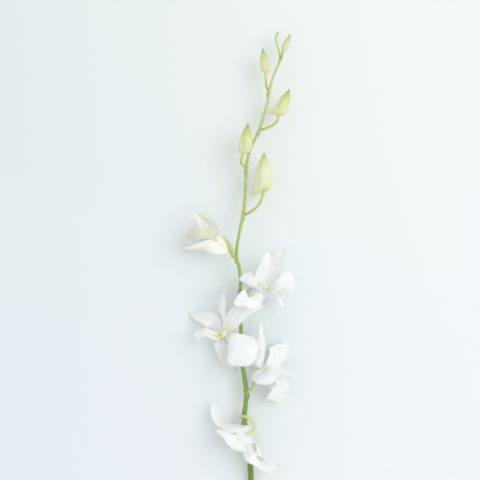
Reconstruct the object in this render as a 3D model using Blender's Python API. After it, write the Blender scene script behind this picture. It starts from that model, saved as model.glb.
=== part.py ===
"""A cut spray of a white dendrobium orchid, lying on its side.

One stem carries five flowers below and five closed buds above, turned to the left and
to the right by turns.  A flower is a stalk, three sepals, two petals, a lip and a column,
each a solid of its own.  The script works in metres, and the lists below are in
millimetres: +Y runs from the cut end to the tip, and +Z is up from the surface.
"""
import math

import bmesh
import bpy
from mathutils import Vector

MM = 0.001

# ---- driving dimensions, in millimetres ----
SHIFT = (-0.86, 0.84, 0.0)   # brings the middle of the spray's footprint to the origin
GAP = 0.3                    # clearance between neighbouring pieces
BLADE = 0.6                  # thickness of a sepal, petal or lip
FLOOR = 0.32                 # lowest height of the middle of a blade
BED = 0.9                    # height over which a blade bends to lie on the surface

STALK_RADIUS = 1.15          # flower stalk at the stem
OVARY_RADIUS = 1.55          # flower stalk where it meets the flower
BUD_STALK_RADIUS = 0.85
COLUMN_LENGTH = 7.5
COLUMN_RADII = [1.1, 1.4, 1.5, 1.55, 1.6, 1.6, 1.6, 1.55, 1.1]     # from its foot to its cap
STALK_SEAT = 2.4             # from the middle of the column to the stalk's end
RING_RADIUS = 2.92           # where sepals and petals leave the flower's middle
INNER_WHORL = 1.1            # the petals stand this far in front of the sepals
LIP_DROP = 2.3               # the lip starts this far below the column
LIP_STEP = 1.5               # and this far in front of the flower's middle
SPUR_SHARE = 0.45            # a lower sepal's root spans this share of the spur each way
SPUR_HALF_WIDTH = 2.5        # from the middle of the spur to the sepals on its sides
STALK_RISE = 1.4             # how far a stalk runs on straight at its ends
STALK_LEAN = 0.6             # how much a flower's stalk leans along the stem as it leaves

BRACT_LENGTH = 4.0
BRACT_THICKNESS = 0.35
LONG_SPAN = 9.0              # a longer stretch of the stem gets a ring halfway
CUT_SLOPE = 0.9
STEM_SIDES = 10
STALK_SIDES = 8
STALK_RINGS = 14
BUD_STALK_RINGS = 11
BUD_SIDES = 12

# ---- the stem: x, y, z of its middle and its radius, from the cut end to the tip ----
STEM = [
    (15.8, -215.0, 2.25, 2.25), (13.6, -180.0, 2.9, 2.25), (12.0, -148.0, 4.1, 2.2),
    (11.2, -122.0, 5.6, 2.15), (10.2, -107.0, 7.0, 2.1), (8.0, -91.0, 8.7, 2.0),
    (6.3, -76.5, 10.2, 2.0), (7.2, -67.0, 11.2, 1.8), (7.8, -56.5, 12.3, 1.9),
    (6.2, -45.0, 13.6, 1.7), (4.4, -34.0, 14.7, 1.6), (4.0, -22.0, 15.7, 1.55),
    (3.7, -8.0, 16.6, 1.4), (2.7, 4.0, 17.2, 1.35), (2.8, 15.5, 17.6, 1.45),
    (3.4, 28.0, 17.9, 1.25), (2.1, 38.0, 18.1, 1.25), (0.4, 45.0, 18.2, 1.35),
    (0.8, 53.0, 18.2, 1.15), (3.4, 67.5, 18.2, 1.15), (5.4, 77.0, 18.2, 1.3),
    (7.0, 93.0, 18.2, 1.1), (7.8, 112.0, 18.2, 1.25), (9.4, 121.5, 18.1, 1.05),
    (13.4, 131.5, 18.0, 1.05), (17.7, 141.1, 17.8, 1.2), (23.4, 160.0, 17.4, 0.95),
    (25.0, 170.0, 17.1, 1.1), (28.2, 181.0, 16.7, 0.8), (33.0, 193.0, 16.2, 0.95),
    (32.2, 200.0, 15.8, 0.65), (30.0, 208.6, 15.3, 0.9), (31.0, 212.6, 15.1, 1.0),
    (32.3, 215.2, 15.0, 0.55),
]

# ---- the five flowers ----
# Its centre, the way it faces, the way its top sepal stands and the tip of its spur from the
# centre; the stem station and side its stalk leaves from, and points the stalk passes.
# Each blade has points of its midline from the centre, the way its inner side faces near
# its tip, its width and how far its sides curl in.
FLOWERS = {
    "a": {
        "centre": (-11.5, 56.0, 19.0), "faces": (-0.97, 0.1, 0.1), "top": (-0.1, 1.0, 0.0),
        "spur": (6.8, -7.8, -0.4),
        "node": (17, (-1.0, 0.0, 0.2)), "via": [(-2.8, 47.8, 21.4), (-3.4, 51.5, 22.0)],
        "dorsal_sepal": ([(-6.0, 9.5, 1.0), (-12.0, 15.5, 2.0), (-20.0, 24.5, 2.5)],
                         (-0.2, -0.4, 0.9), 14.0, 1.1),
        "right_petal": ([(-7.5, 5.2, 7.8), (-16.0, 6.0, 10.8), (-26.4, 4.8, 5.8)],
                        (0.3, 0.25, -0.9), 11.5, 0.5),
        "left_petal": ([(-4.5, 4.4, -8.6), (-8.0, 13.5, -10.6), (-11.6, 23.5, -9.4)],
                       (-0.4, -0.2, 0.9), 11.5, 0.4),
        "right_sepal": ([(-10.0, -2.6, 5.6), (-21.0, -4.2, 6.4), (-33.4, -4.6, 5.0)],
                        (0.05, 0.8, -0.6), 11.0, 0.35),
        "left_sepal": ([(-9.0, -5.5, -6.5), (-20.0, -6.0, -13.0), (-29.0, -6.5, -20.0)],
                       (0.1, 0.95, 0.3), 9.5, 0.3),
        "lip": ([(-8.0, -0.4, 1.6), (-15.0, 2.0, 3.6), (-23.2, 0.2, 3.2)],
                (0.1, 0.35, 0.93), 10.5, 0.5),
    },
    "b": {
        "centre": (15.5, 21.0, 21.0), "faces": (0.88, 0.05, 0.46), "top": (0.1, 0.95, -0.2),
        "spur": (-6.0, -6.5, -4.0),
        "node": (14, (1.0, 0.0, 0.1)), "via": [(7.6, 18.2, 18.0)],
        "dorsal_sepal": ([(2.8, 10.0, -0.8), (6.4, 20.0, 1.0), (9.5, 29.5, 2.5)],
                         (0.5, -0.3, 0.8), 11.5, 0.3),
        "left_petal": ([(-4.5, 2.4, 8.7), (-6.8, 5.8, 13.6), (-4.0, 13.8, 16.4)],
                       (0.15, -0.2, -1.0), 16.0, 0.4),
        "right_petal": ([(7.5, 5.2, -7.0), (12.5, 13.0, -9.5), (16.5, 21.5, -9.5),
                         (21.5, 30.5, -9.0)], (-0.45, 0.1, 0.85), 16.0, 0.3),
        "left_sepal": ([(-4.9, -6.5, 7.0), (-9.0, -7.0, 11.5), (-17.4, -10.2, 12.8)],
                       (0.1, 0.25, -0.95), 15.5, 0.3),
        "right_sepal": ([(3.0, -7.0, -5.0), (11.5, -5.8, -5.5), (17.5, -7.8, -5.0),
                         (18.5, -16.5, -5.0)], (0.5, 0.7, 0.5), 11.0, 0.3),
        "lip": ([(8.0, -3.4, 3.0), (17.0, 2.0, 6.0), (25.0, 6.5, 3.5), (29.0, 5.0, -1.0)],
                (0.3, 0.35, 0.85), 16.0, 1.0),
    },
    "c": {
        "centre": (-8.5, -12.0, 15.5), "faces": (-0.22, -0.12, 0.97), "top": (0.87, 0.5, 0.2),
        "spur": (-2.0, -4.0, -7.5),
        "node": (11, (-1.0, 0.0, -0.4)), "via": [(-0.5, -20.5, 11.5), (-2.6, -14.5, 10.2)],
        "dorsal_sepal": ([(5.2, 7.4, 2.0), (10.6, 14.8, 4.4), (18.8, 18.9, 5.4),
                          (30.0, 20.4, 4.8)], (-0.1, 0.0, 1.0), 13.5, 0.25),
        "left_petal": ([(-1.2, 11.5, 8.0), (-3.2, 21.0, 9.0), (-2.0, 28.0, 8.0),
                        (2.4, 31.6, 5.5), (7.8, 33.2, 2.5)],
                       (0.2, -1.0, 0.3), 12.0, 0.4),
        "right_petal": ([(5.5, -4.4, 8.0), (12.8, -12.3, 12.5), (20.0, -22.4, 13.0)],
                        (0.05, 0.0, 1.0), 26.5, -0.3),
        "left_sepal": ([(-9.0, 8.6, -1.0), (-18.0, 10.8, -6.5), (-28.2, 13.4, -16.2)],
                       (-0.1, 0.35, 0.9), 13.0, 0.4),
        "right_sepal": ([(-2.6, -8.0, -3.0), (-1.0, -16.2, -6.5), (2.2, -24.4, -10.5),
                         (8.8, -30.6, -15.2)], (-0.3, 0.1, 0.9), 10.5, 0.2),
        "lip": ([(-6.5, -2.6, 3.0), (-13.5, -0.5, 3.5), (-22.3, -1.8, -1.0)],
                (0.2, 0.6, 0.75), 12.5, 0.9),
    },
    "d": {
        "centre": (20.0, -40.0, 17.5), "faces": (0.85, 0.2, 0.45), "top": (-0.1, 0.97, -0.2),
        "spur": (-8.6, -6.2, 0.0),
        "node": (8, (1.0, 0.0, 0.3)), "via": [(13.0, -52.5, 12.6), (14.4, -46.2, 11.4)],
        "dorsal_sepal": ([(-1.2, 11.0, -0.9), (-1.0, 24.0, -0.4), (-2.0, 37.0, 0.0)],
                         (0.8, 0.0, 0.6), 8.8, 0.4),
        "left_petal": ([(-4.0, 4.6, 5.5), (-5.4, 15.0, 5.4), (-8.0, 27.6, 3.8)],
                       (0.4, -0.1, -0.9), 15.0, 0.4),
        "right_petal": ([(6.5, 5.5, -6.0), (11.5, 11.0, -11.5), (21.6, 16.4, -18.0)],
                        (-0.3, -0.35, 0.85), 17.5, 0.3),
        "left_sepal": ([(2.0, -2.8, 8.8), (12.5, -0.3, 12.4), (26.5, -6.5, 9.4)],
                       (0.1, 0.5, -0.8), 14.0, 0.4),
        "right_sepal": ([(4.0, -8.5, -6.5), (7.0, -15.5, -11.5), (2.0, -22.0, -16.5)],
                        (0.6, 0.5, 0.5), 9.5, 0.3),
        "lip": ([(7.0, -4.2, 1.4), (12.8, -8.0, 2.5), (12.8, -17.0, -1.5), (11.6, -25.0, -7.5)],
                (0.3, 0.1, 0.95), 22.0, 0.6),
    },
    "e": {
        "centre": (6.5, -91.5, 18.5), "faces": (-0.35, -0.5, -0.79), "top": (-0.72, 0.62, -0.1),
        "spur": (6.0, -2.5, 4.0),
        "node": (6, (-0.9, 0.0, 0.45)),
        "via": [(4.4, -74.8, 14.4), (9.8, -76.2, 15.8), (14.2, -81.8, 17.8), (12.2, -86.6, 21.2)],
        "dorsal_sepal": ([(-1.9, 7.2, -0.6), (-8.8, 9.0, -3.0), (-16.8, 11.0, -6.2),
                          (-22.2, 17.2, -8.5), (-23.6, 27.6, -9.0)],
                         (-0.35, -0.75, -0.5), 11.5, 0.4),
        "right_petal": ([(-5.5, -2.4, 5.1), (-12.5, 2.2, 5.9), (-21.6, 7.6, 2.0)],
                        (-0.25, -0.45, -0.85), 11.0, -0.4),
        "left_petal": ([(-5.2, 3.4, -5.6), (-9.5, 5.0, -12.0), (-13.0, 6.5, -19.2)],
                       (-0.7, -0.5, -0.3), 13.0, 0.3),
        "right_sepal": ([(3.0, -8.5, 4.5), (8.2, -15.0, 3.0), (16.0, -21.4, 0.5),
                         (26.5, -19.2, -1.0)], (-0.6, -0.7, -0.4), 11.5, 0.3),
        "left_sepal": ([(6.7, -6.5, -4.0), (11.4, -11.9, -10.5), (13.9, -18.8, -17.8)],
                       (-0.6, -0.5, -0.5), 10.2, 0.3),
        "lip": ([(-0.5, -5.0, -3.8), (-4.0, -8.0, -9.5), (-8.5, -8.0, -17.5)],
                (-0.5, 0.4, -0.8), 13.0, 0.8),
    },
}

# Outline of a blade: shares of its half width from the root to the tip, evenly spaced, then
# the part of its length from which the tip is rounded.
OUTLINES = {
    "dorsal_sepal": ([0.45, 0.9, 1.0, 0.9, 0.72, 0.5], 0.45),
    "left_sepal": ([0.95, 1.0, 0.87, 0.68, 0.5, 0.32], 0.45),
    "right_sepal": ([0.95, 1.0, 0.87, 0.68, 0.5, 0.32], 0.45),
    "left_petal": ([0.24, 0.36, 0.72, 0.98, 1.0, 0.8], 0.58),
    "right_petal": ([0.24, 0.36, 0.72, 0.98, 1.0, 0.8], 0.58),
    "lip": ([0.26, 0.6, 0.62, 0.72, 1.0, 1.0], 0.72),
    "bract": ([0.95, 1.0, 0.8, 0.5], 0.4),
}
# how much a blade's sides curl in, from its root to its tip, as shares of its curl
CURLS = {
    "sepal": [0.15, 0.7, 1.0, 1.0], "petal": [0.3, 1.0, 1.0, 0.8],
    "lip": [0.8, 1.0, 0.8, 0.4, 0.2], "bract": [1.0, 1.0],
}
CELLS = {"sepal": (10, 4), "petal": (10, 6), "lip": (10, 6), "bract": (4, 4)}
AZIMUTHS = {                 # degrees round the flower from its top sepal
    "dorsal_sepal": 0.0, "left_petal": 60.0, "right_petal": -60.0,
    "left_sepal": 135.0, "right_sepal": -135.0, "lip": 180.0,
}

# ---- the five buds ----
# The stem station and side the stalk leaves from, how much it leans along the stem there,
# the points it passes, the base and the tip of the bud, its width, the way its spur points,
# how far the spur reaches out in half widths and down in widths and how soon it thins, and
# how far towards the spur the stalk meets the base.
BUDS = {
    1: {"node": (29, (0.4, 0.0, 0.9)), "lean": 1.6, "via": [], "base": (35.3, 199.7, 16.6),
        "tip": (40.9, 212.3, 17.0), "width": 5.0, "spur": (-1.0, 0.3, 0.0),
        "foot": (0.15, -0.2, 1.5), "seat": 0.0},
    2: {"node": (27, (-1.0, 0.0, 0.1)), "lean": 1.7, "via": [(22.6, 175.6, 17.4)],
        "base": (22.3, 183.6, 17.6), "tip": (20.1, 201.4, 18.0), "width": 7.2,
        "spur": (1.0, 0.0, 0.1), "foot": (0.3, 0.08, 1.5), "seat": -0.1},
    3: {"node": (25, (1.0, 0.0, 0.2)), "lean": 0.5,
        "via": [(23.1, 141.8, 18.5), (28.2, 144.2, 18.9), (31.3, 147.6, 19.1)],
        "base": (32.0, 151.4, 19.1), "tip": (40.0, 170.6, 19.0), "width": 9.6,
        "spur": (-1.0, -0.1, 0.0), "foot": (1.1, 0.2, 1.0), "seat": 0.0},
    4: {"node": (22, (-0.6, 0.0, 0.8)), "lean": 0.6, "via": [(3.8, 115.5, 22.2)],
        "base": (6.4, 122.4, 24.8), "tip": (9.0, 144.5, 25.2), "width": 10.0,
        "spur": (-0.9, -0.3, 0.2), "foot": (0.35, 0.04, 1.5), "seat": 1.1},
    5: {"node": (20, (1.0, 0.0, 0.2)), "lean": 0.6,
        "via": [(13.8, 80.9, 19.2), (18.2, 86.0, 19.6)],
        "base": (20.6, 94.6, 19.7), "tip": (21.1, 123.0, 19.6), "width": 13.8,
        "spur": (-1.0, -0.25, 0.0), "foot": (0.79, 0.38, 1.4), "seat": -0.2},
}
# a bud from its base to its tip: share of its length and share of its half width
BUD_OUTLINE = [(0.0, 0.46), (0.05, 0.80), (0.15, 0.98), (0.3, 1.0), (0.45, 0.93),
               (0.6, 0.78), (0.75, 0.56), (0.88, 0.30), (1.0, 0.06)]

# ---- colours of the pieces: red, green, blue, and roughness ----
GREEN = (0.20, 0.34, 0.06, 0.5)
PALE_GREEN = (0.55, 0.62, 0.26, 0.5)
BUD_CREAM = (0.72, 0.78, 0.46, 0.55)
WHITE = (0.88, 0.90, 0.88, 0.6)
CREAM = (0.84, 0.88, 0.62, 0.55)
TAN = (0.45, 0.36, 0.20, 0.7)


# ---- helpers ----
def along(points, t):
    """The smooth curve through the points, at t from 0 to 1."""
    pts = [Vector(p) for p in points]
    pts = [pts[0] * 2 - pts[1]] + pts + [pts[-1] * 2 - pts[-2]]
    spans = len(pts) - 3
    place = min(max(t, 0.0), 1.0) * spans
    i = min(int(place), spans - 1)
    f = place - i
    a, b, c, d = pts[i:i + 4]
    return 0.5 * (2 * b + (c - a) * f + (2 * a - 5 * b + 4 * c - d) * f * f
                  + (3 * b - 3 * c + d - a) * f ** 3)


def even_curve(points, count):
    """Points spaced evenly along the smooth curve through the given ones."""
    fine = [along(points, i / 80) for i in range(81)]
    lengths = [0.0]
    for p, q in zip(fine, fine[1:]):
        lengths.append(lengths[-1] + (q - p).length)
    result = []
    j = 0
    for i in range(count):
        goal = lengths[-1] * i / (count - 1)
        while j < 79 and lengths[j + 1] < goal:
            j += 1
        part = (goal - lengths[j]) / max(lengths[j + 1] - lengths[j], 1e-9)
        result.append(fine[j].lerp(fine[j + 1], part))
    return result


def tangents(points):
    last = len(points) - 1
    return [(points[min(i + 1, last)] - points[max(i - 1, 0)]).normalized()
            for i in range(last + 1)]


def square_to(direction, axis):
    """The part of a direction that is square to an axis, made one long."""
    return (direction - axis * direction.dot(axis)).normalized()


def material(name, colour):
    mat = bpy.data.materials.new(name)
    mat.use_nodes = True
    shader = mat.node_tree.nodes["Principled BSDF"]
    shader.inputs["Base Color"].default_value = (*colour[:3], 1.0)
    shader.inputs["Roughness"].default_value = colour[3]
    shader.inputs["Metallic"].default_value = 0.0
    mat.diffuse_color = (*colour[:3], 1.0)
    return mat


def add_object(name, points, faces, colour):
    """One named object from points in millimetres, with its own material."""
    mesh = bpy.data.meshes.new(name)
    mesh.from_pydata([(Vector(p) + Vector(SHIFT)) * MM for p in points], [], faces)
    bm = bmesh.new()
    bm.from_mesh(mesh)
    bmesh.ops.recalc_face_normals(bm, faces=bm.faces)
    bm.to_mesh(mesh)
    bm.free()
    mesh.shade_smooth()
    mesh.set_sharp_from_angle(angle=math.radians(50))
    obj = bpy.data.objects.new(name, mesh)
    mesh.materials.append(material(name, colour))
    bpy.context.scene.collection.objects.link(obj)
    return obj


def loft(name, rings, colour):
    """A closed solid through rings of equal count, with a flat face at each end."""
    count = len(rings[0])
    points = [p for ring in rings for p in ring]
    faces = []
    for i in range(len(rings) - 1):
        for j in range(count):
            k = (j + 1) % count
            faces.append((i * count + j, i * count + k, (i + 1) * count + k, (i + 1) * count + j))
    faces.append(tuple(reversed(range(count))))
    faces.append(tuple(range(len(points) - count, len(points))))
    return add_object(name, points, faces, colour)


def tube_rings(points, ways, radii, sides):
    """Circles along a line, each square to its way and not turned against the last one."""
    up = Vector((1.0, 0.0, 0.0)) if abs(ways[0].z) > 0.9 else Vector((0.0, 0.0, 1.0))
    turns = [2 * math.pi * i / sides for i in range(sides)]
    rings = []
    for middle, way, radius in zip(points, ways, radii):
        up = square_to(up, way)
        side = way.cross(up)
        rings.append([middle + (up * math.cos(a) + side * math.sin(a)) * radius for a in turns])
    return rings


def lay_down(point):
    """Bends what would reach below the surface along it, and leaves the rest alone."""
    z = point.z - FLOOR
    lifted = 0.5 * (z + math.sqrt(z * z + BED * BED)) if z < BED * 4 else z
    fade = min(max((z - BED) / (3 * BED), 0.0), 1.0)
    return Vector((point.x, point.y, FLOOR + lifted * (1 - fade) + z * fade))


# ---- blades: sepals, petals, lips and bracts ----
def share_of(numbers, t):
    """A number read at t from evenly spaced ones, on a smooth curve through them."""
    return along([(n, 0.0, 0.0) for n in numbers], t).x


def half_width(outline, t):
    """Share of a blade's half width at t, with a rounded tip."""
    shares, rounded_from = OUTLINES[outline]
    end = max(t - rounded_from, 0.0) / (1.0 - rounded_from)
    return share_of(shares, t) * math.sqrt(max(1.0 - end * end, 0.0))


def blade(name, path, root_side, tip_face, width, curl, colour, kind, thickness=BLADE):
    """A thin curved solid round a midline.

    root_side reaches from the middle of its root to one end of it; tip_face is the way its
    inner side faces near the tip, and the blade turns smoothly from one to the other.
    """
    family = kind.split("_")[-1]
    rows, columns = CELLS[family]
    spine = even_curve(path, rows + 1)
    ways = tangents(spine)
    root_half = root_side.length
    root_side = root_side.normalized()
    tip_side = ways[-1].cross(square_to(tip_face, ways[-1]))
    grid = []
    for i in range(rows + 1):
        t = i / rows
        turn = min(t * 1.6, 1.0)
        square = square_to(root_side.lerp(tip_side, turn * turn * (3 - 2 * turn)), ways[i])
        side = root_side.lerp(square, min(t * 3.0, 1.0)).normalized()
        inner = side.cross(ways[i]).normalized()
        half = width / 2 * half_width(kind, min(t, 0.985))
        half = root_half + (half - root_half) * min(t * 5.0, 1.0)
        bend = curl * share_of(CURLS[family], t)
        row = []
        for j in range(columns + 1):
            u = 2 * j / columns - 1
            across = half * (math.sin(bend * u) / bend if abs(bend) > 0.01 else u)
            lift = half * ((1 - math.cos(bend * u)) / bend if abs(bend) > 0.01 else 0.0)
            row.append(lay_down(spine[i] + side * across + inner * lift))
        grid.append(row)
    points = [p for row in grid for p in row]
    wide = columns + 1
    faces = [(i * wide + j, i * wide + j + 1, (i + 1) * wide + j + 1, (i + 1) * wide + j)
             for i in range(rows) for j in range(columns)]
    obj = add_object(name, points, faces, colour)
    solid = obj.modifiers.new("thickness", "SOLIDIFY")
    solid.thickness = thickness * MM
    solid.offset = 0.0
    return obj


# ---- the pieces ----
def stem_frame(station):
    """Middle, way and radius of the stem at a station of its list."""
    points = [Vector(p[:3]) for p in STEM]
    return points[station], tangents(points)[station], STEM[station][3]


def make_stem():
    stations = [Vector(p[:3]) for p in STEM]
    spans = len(stations) - 1
    points = []
    radii = []
    for i in range(spans):
        steps = 2 if (stations[i + 1] - stations[i]).length > LONG_SPAN else 1
        for k in range(steps):
            points.append(along(stations, (i + k / steps) / spans))
            radii.append(STEM[i][3] + (STEM[i + 1][3] - STEM[i][3]) * k / steps)
    points.append(stations[-1])
    radii.append(STEM[-1][3])
    rings = tube_rings(points, tangents(points), radii, STEM_SIDES)
    # the cut is a slant, longest on the stem's left
    rings[0] = [p + Vector((0.0, p.x - points[0].x, 0.0)) * CUT_SLOPE for p in rings[0]]
    loft("stem", rings, GREEN)


def make_stalk(name, plan, end, toward, radii):
    """A stalk from just off the stem, past the points given, to its end.

    toward is the way back out of what it carries; both of its ends meet squarely.
    """
    station, side = plan["node"]
    middle, way, radius = stem_frame(station)
    out = square_to(Vector(side), way)
    start = middle + out * (radius + GAP)
    path = [start, start + (out + way * plan.get("lean", STALK_LEAN)) * STALK_RISE]
    path += [Vector(p) for p in plan["via"]] + [end + toward * STALK_RISE, end]
    points = even_curve(path, len(radii))
    ways = tangents(points)
    ways[0] = out
    ways[-1] = -toward
    loft(name, tube_rings(points, ways, radii, STALK_SIDES), PALE_GREEN)


def make_column(name, centre, faces, top, spur):
    """The column and, behind it, its foot, which fills the spur."""
    line = [spur, spur * 0.55, Vector((0.0, 0.0, 0.0)), faces * 3.0 + top * 0.6,
            faces * COLUMN_LENGTH + top * 1.4]
    points = [centre + p for p in even_curve(line, len(COLUMN_RADII))]
    loft(name, tube_rings(points, tangents(points), COLUMN_RADII, STALK_SIDES), CREAM)


def blade_root(part, plan, centre, faces, top, spur):
    """Middle of a blade's root, and the way from there to one end of the root."""
    right = top.cross(faces)                 # to the right of someone who looks at the flower
    angle = math.radians(AZIMUTHS[part])
    if part in ("left_sepal", "right_sepal"):
        # the two lower sepals stand along the sides of the spur
        hand = 1 if part == "right_sepal" else -1
        root = centre + spur * (1 - SPUR_SHARE) + right * SPUR_HALF_WIDTH * hand
        return root, spur * SPUR_SHARE * hand
    radial = top * math.cos(angle) - right * math.sin(angle)
    root = centre + radial * RING_RADIUS
    if part == "lip":
        root = centre - top * LIP_DROP + faces * LIP_STEP
    elif part != "dorsal_sepal":
        root += faces * INNER_WHORL
    path, _, width, _ = plan[part]
    first = (centre + Vector(path[0]) - root).normalized()
    side = first.cross(square_to(faces - radial * 0.4, first))
    return root, side * width / 2 * OUTLINES[part][0][0]


def make_flower(letter, plan):
    centre = Vector(plan["centre"])
    faces = Vector(plan["faces"]).normalized()
    top = square_to(Vector(plan["top"]), faces)
    spur = Vector(plan["spur"])
    name = "flower_" + letter

    back = square_to(top * 0.4 - faces, spur.normalized())
    last = STALK_RINGS - 1
    swell = [STALK_RADIUS + (OVARY_RADIUS - STALK_RADIUS) * (i / last) ** 2
             for i in range(STALK_RINGS)]
    make_stalk(name + "_pedicel", plan, centre + back * STALK_SEAT, back, swell)
    make_column(name + "_column", centre, faces, top, spur)
    for part in AZIMUTHS:
        path, tip_face, width, curl = plan[part]
        root, root_side = blade_root(part, plan, centre, faces, top, spur)
        line = [root] + [centre + Vector(p) for p in path]
        blade(name + "_" + part, line, root_side, Vector(tip_face), width, curl, WHITE, part)
    make_bract(name, plan["node"])


def make_bud(number, plan):
    """A closed pointed bud, with a short blunt spur on one side of its base."""
    name = "bud_%d" % number
    base = Vector(plan["base"])
    tip = Vector(plan["tip"])
    axis = (tip - base).normalized()
    length = (tip - base).length
    half = plan["width"] / 2
    spur = square_to(Vector(plan["spur"]), axis)
    side = axis.cross(spur)
    rings = []
    for t, share in BUD_OUTLINE:
        drop = plan["foot"][1] * plan["width"] * max(1 - t / 0.3, 0.0) ** 1.5
        reach = plan["foot"][0] * half * max(1 - t / 0.25, 0.0) ** plan["foot"][2]
        ring = []
        for j in range(BUD_SIDES):
            turn = 2 * math.pi * j / BUD_SIDES
            toward = max(math.cos(turn), 0.0) ** 1.5
            ring.append(base + axis * (length * t - drop * toward)
                        + spur * (half * share * math.cos(turn) + reach * toward)
                        + side * half * share * 0.9 * math.sin(turn))
        rings.append(ring)
    loft(name, rings, BUD_CREAM)
    size = BUD_STALK_RADIUS * (0.75 + 0.025 * plan["width"])
    clear = GAP + 0.2 * size + 0.2 * max(plan["foot"][1], 0.0) * plan["width"]
    end = base - axis * clear + spur * plan["seat"]
    make_stalk(name + "_pedicel", plan, end, -axis,
               [size * (1 + 0.005 * i * i) for i in range(BUD_STALK_RINGS)])
    if number > 1:                           # the top bud's scale is too small to model
        make_bract(name, plan["node"])


def make_bract(name, node):
    """A dry scale that clasps the stem just below the stalk it belongs to."""
    middle, way, radius = stem_frame(node[0])
    out = square_to(Vector(node[1]), way)
    size = BRACT_LENGTH * (0.55 + 0.25 * radius)
    inner = radius + GAP + BRACT_THICKNESS / 2 + 0.15
    low = middle - way * (size + STALK_RADIUS + 2 * GAP)
    path = [low + out * inner, low + way * size * 0.5 + out * (inner + 0.15),
            low + way * size + out * (inner + 0.4)]
    blade(name + "_bract", path, out.cross(way) * inner * 1.2, -out, inner * 2.5, 1.25, TAN,
          "bract", BRACT_THICKNESS)


def clear_scene():
    for obj in list(bpy.data.objects):
        bpy.data.objects.remove(obj, do_unlink=True)


def main():
    clear_scene()
    make_stem()
    for letter, plan in FLOWERS.items():
        make_flower(letter, plan)
    for number, plan in BUDS.items():
        make_bud(number, plan)


main()
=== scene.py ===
# %% [markdown]
# # A cut spray of a white dendrobium orchid
#
# One green stem carries five open flowers low down and five closed buds above, turned to
# the left and to the right by turns. Here the spray lies on its side on a pale surface.
# Each flower has three sepals, two petals, a lip, a column with its anther cap, a stalk and
# a dry scale below that stalk. The frame gives one fixed solid for each of them. This
# lesson puts a finely modelled piece in the place of each solid, and gives it a finish.

import math
import random

import bmesh
import bpy
import numpy as np
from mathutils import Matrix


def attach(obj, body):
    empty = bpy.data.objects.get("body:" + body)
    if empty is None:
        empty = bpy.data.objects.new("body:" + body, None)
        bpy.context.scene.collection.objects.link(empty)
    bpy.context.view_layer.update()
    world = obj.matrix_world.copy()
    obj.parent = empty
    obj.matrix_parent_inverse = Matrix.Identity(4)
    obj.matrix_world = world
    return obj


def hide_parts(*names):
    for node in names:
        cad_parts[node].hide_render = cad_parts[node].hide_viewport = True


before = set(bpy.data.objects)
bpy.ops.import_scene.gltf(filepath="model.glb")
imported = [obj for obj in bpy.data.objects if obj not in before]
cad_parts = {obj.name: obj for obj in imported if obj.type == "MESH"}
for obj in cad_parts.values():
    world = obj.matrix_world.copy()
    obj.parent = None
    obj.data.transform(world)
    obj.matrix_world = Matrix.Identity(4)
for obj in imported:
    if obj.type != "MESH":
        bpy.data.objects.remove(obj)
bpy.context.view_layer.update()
print("solids in the frame:", len(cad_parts))

# %% [markdown]
# ## Camera, surface and light
#
# The camera looks straight down on the spray with a long lens, so that the near petals
# aren't drawn much larger than the far ones. The distance follows from how much of the
# spray the picture takes in.

# %% Camera
LENS = 85.0                      # millimetres
SENSOR = 36.0
SHOWN = 0.360                    # metres from side to side of the picture
SHOWN_AT = 0.018                 # height of the middle of the flowers
AIM = (0.00214, 0.05859)         # where it looks on the surface, in metres


def add_object(name, data):
    obj = bpy.data.objects.new(name, data)
    bpy.context.scene.collection.objects.link(obj)
    return obj


camera = add_object("camera", bpy.data.cameras.new("camera"))
camera.data.lens = LENS
camera.data.sensor_width = SENSOR
camera.location = (AIM[0], AIM[1], SHOWN_AT + SHOWN * LENS / SENSOR)
bpy.context.scene.camera = camera
bpy.context.scene.view_settings.view_transform = "Standard"
print("camera height:", round(camera.location.z, 3), "m")

# %% [markdown]
# Colours are written as they look on a screen, from 0 to 255, and turned into the linear
# numbers that a shader counts with. Small helpers keep the node trees short: one feeds a
# socket with a value or a link, one adds a node and feeds its sockets by name, and the
# others are for the nodes that are used most.


# %% Colour and node helpers
def paint(red, green, blue):
    """A shader colour from screen values of 0 to 255."""
    shares = [value / 255 for value in (red, green, blue)]
    return (*[s / 12.92 if s <= 0.04045 else ((s + 0.055) / 1.055) ** 2.4 for s in shares], 1.0)


def feed(tree, socket, value):
    if isinstance(value, bpy.types.NodeSocket):
        tree.links.new(value, socket)
    else:
        socket.default_value = value


def add_node(tree, kind, settings=None, **sockets):
    """A node with its settings made and its sockets fed; _ in a socket's name is a space."""
    node = tree.nodes.new("ShaderNode" + kind)
    for key, value in (settings or {}).items():
        setattr(node, key, value)
    for key, value in sockets.items():
        feed(tree, node.inputs[key.replace("_", " ")], value)
    return node


def calc(tree, operation, *values):
    """The result of a Math node."""
    node = add_node(tree, "Math", {"operation": operation})
    for socket, value in zip(node.inputs, values):
        feed(tree, socket, value)
    return node.outputs[0]


def remap(tree, value, low, high, to_low=0.0, to_high=1.0):
    """A value carried smoothly from one range to another, and held at its ends."""
    node = add_node(tree, "MapRange", {"interpolation_type": "SMOOTHSTEP"}, Value=value)
    for key, number in zip(("From Min", "From Max", "To Min", "To Max"),
                           (low, high, to_low, to_high)):
        feed(tree, node.inputs[key], number)
    return node.outputs["Result"]


def blend_colours(tree, share, first, second, way="MIX"):
    node = add_node(tree, "Mix", {"data_type": "RGBA", "blend_type": way})
    feed(tree, node.inputs["Factor"], share)
    feed(tree, node.inputs[6], first)
    feed(tree, node.inputs[7], second)
    return node.outputs[2]


def noise(tree, vector, scale, detail=2.0):
    node = add_node(tree, "TexNoise", Vector=vector, Scale=scale, Detail=detail)
    return node.outputs["Fac"]


print("white paper is", [round(v, 2) for v in paint(235, 243, 242)])

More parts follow.
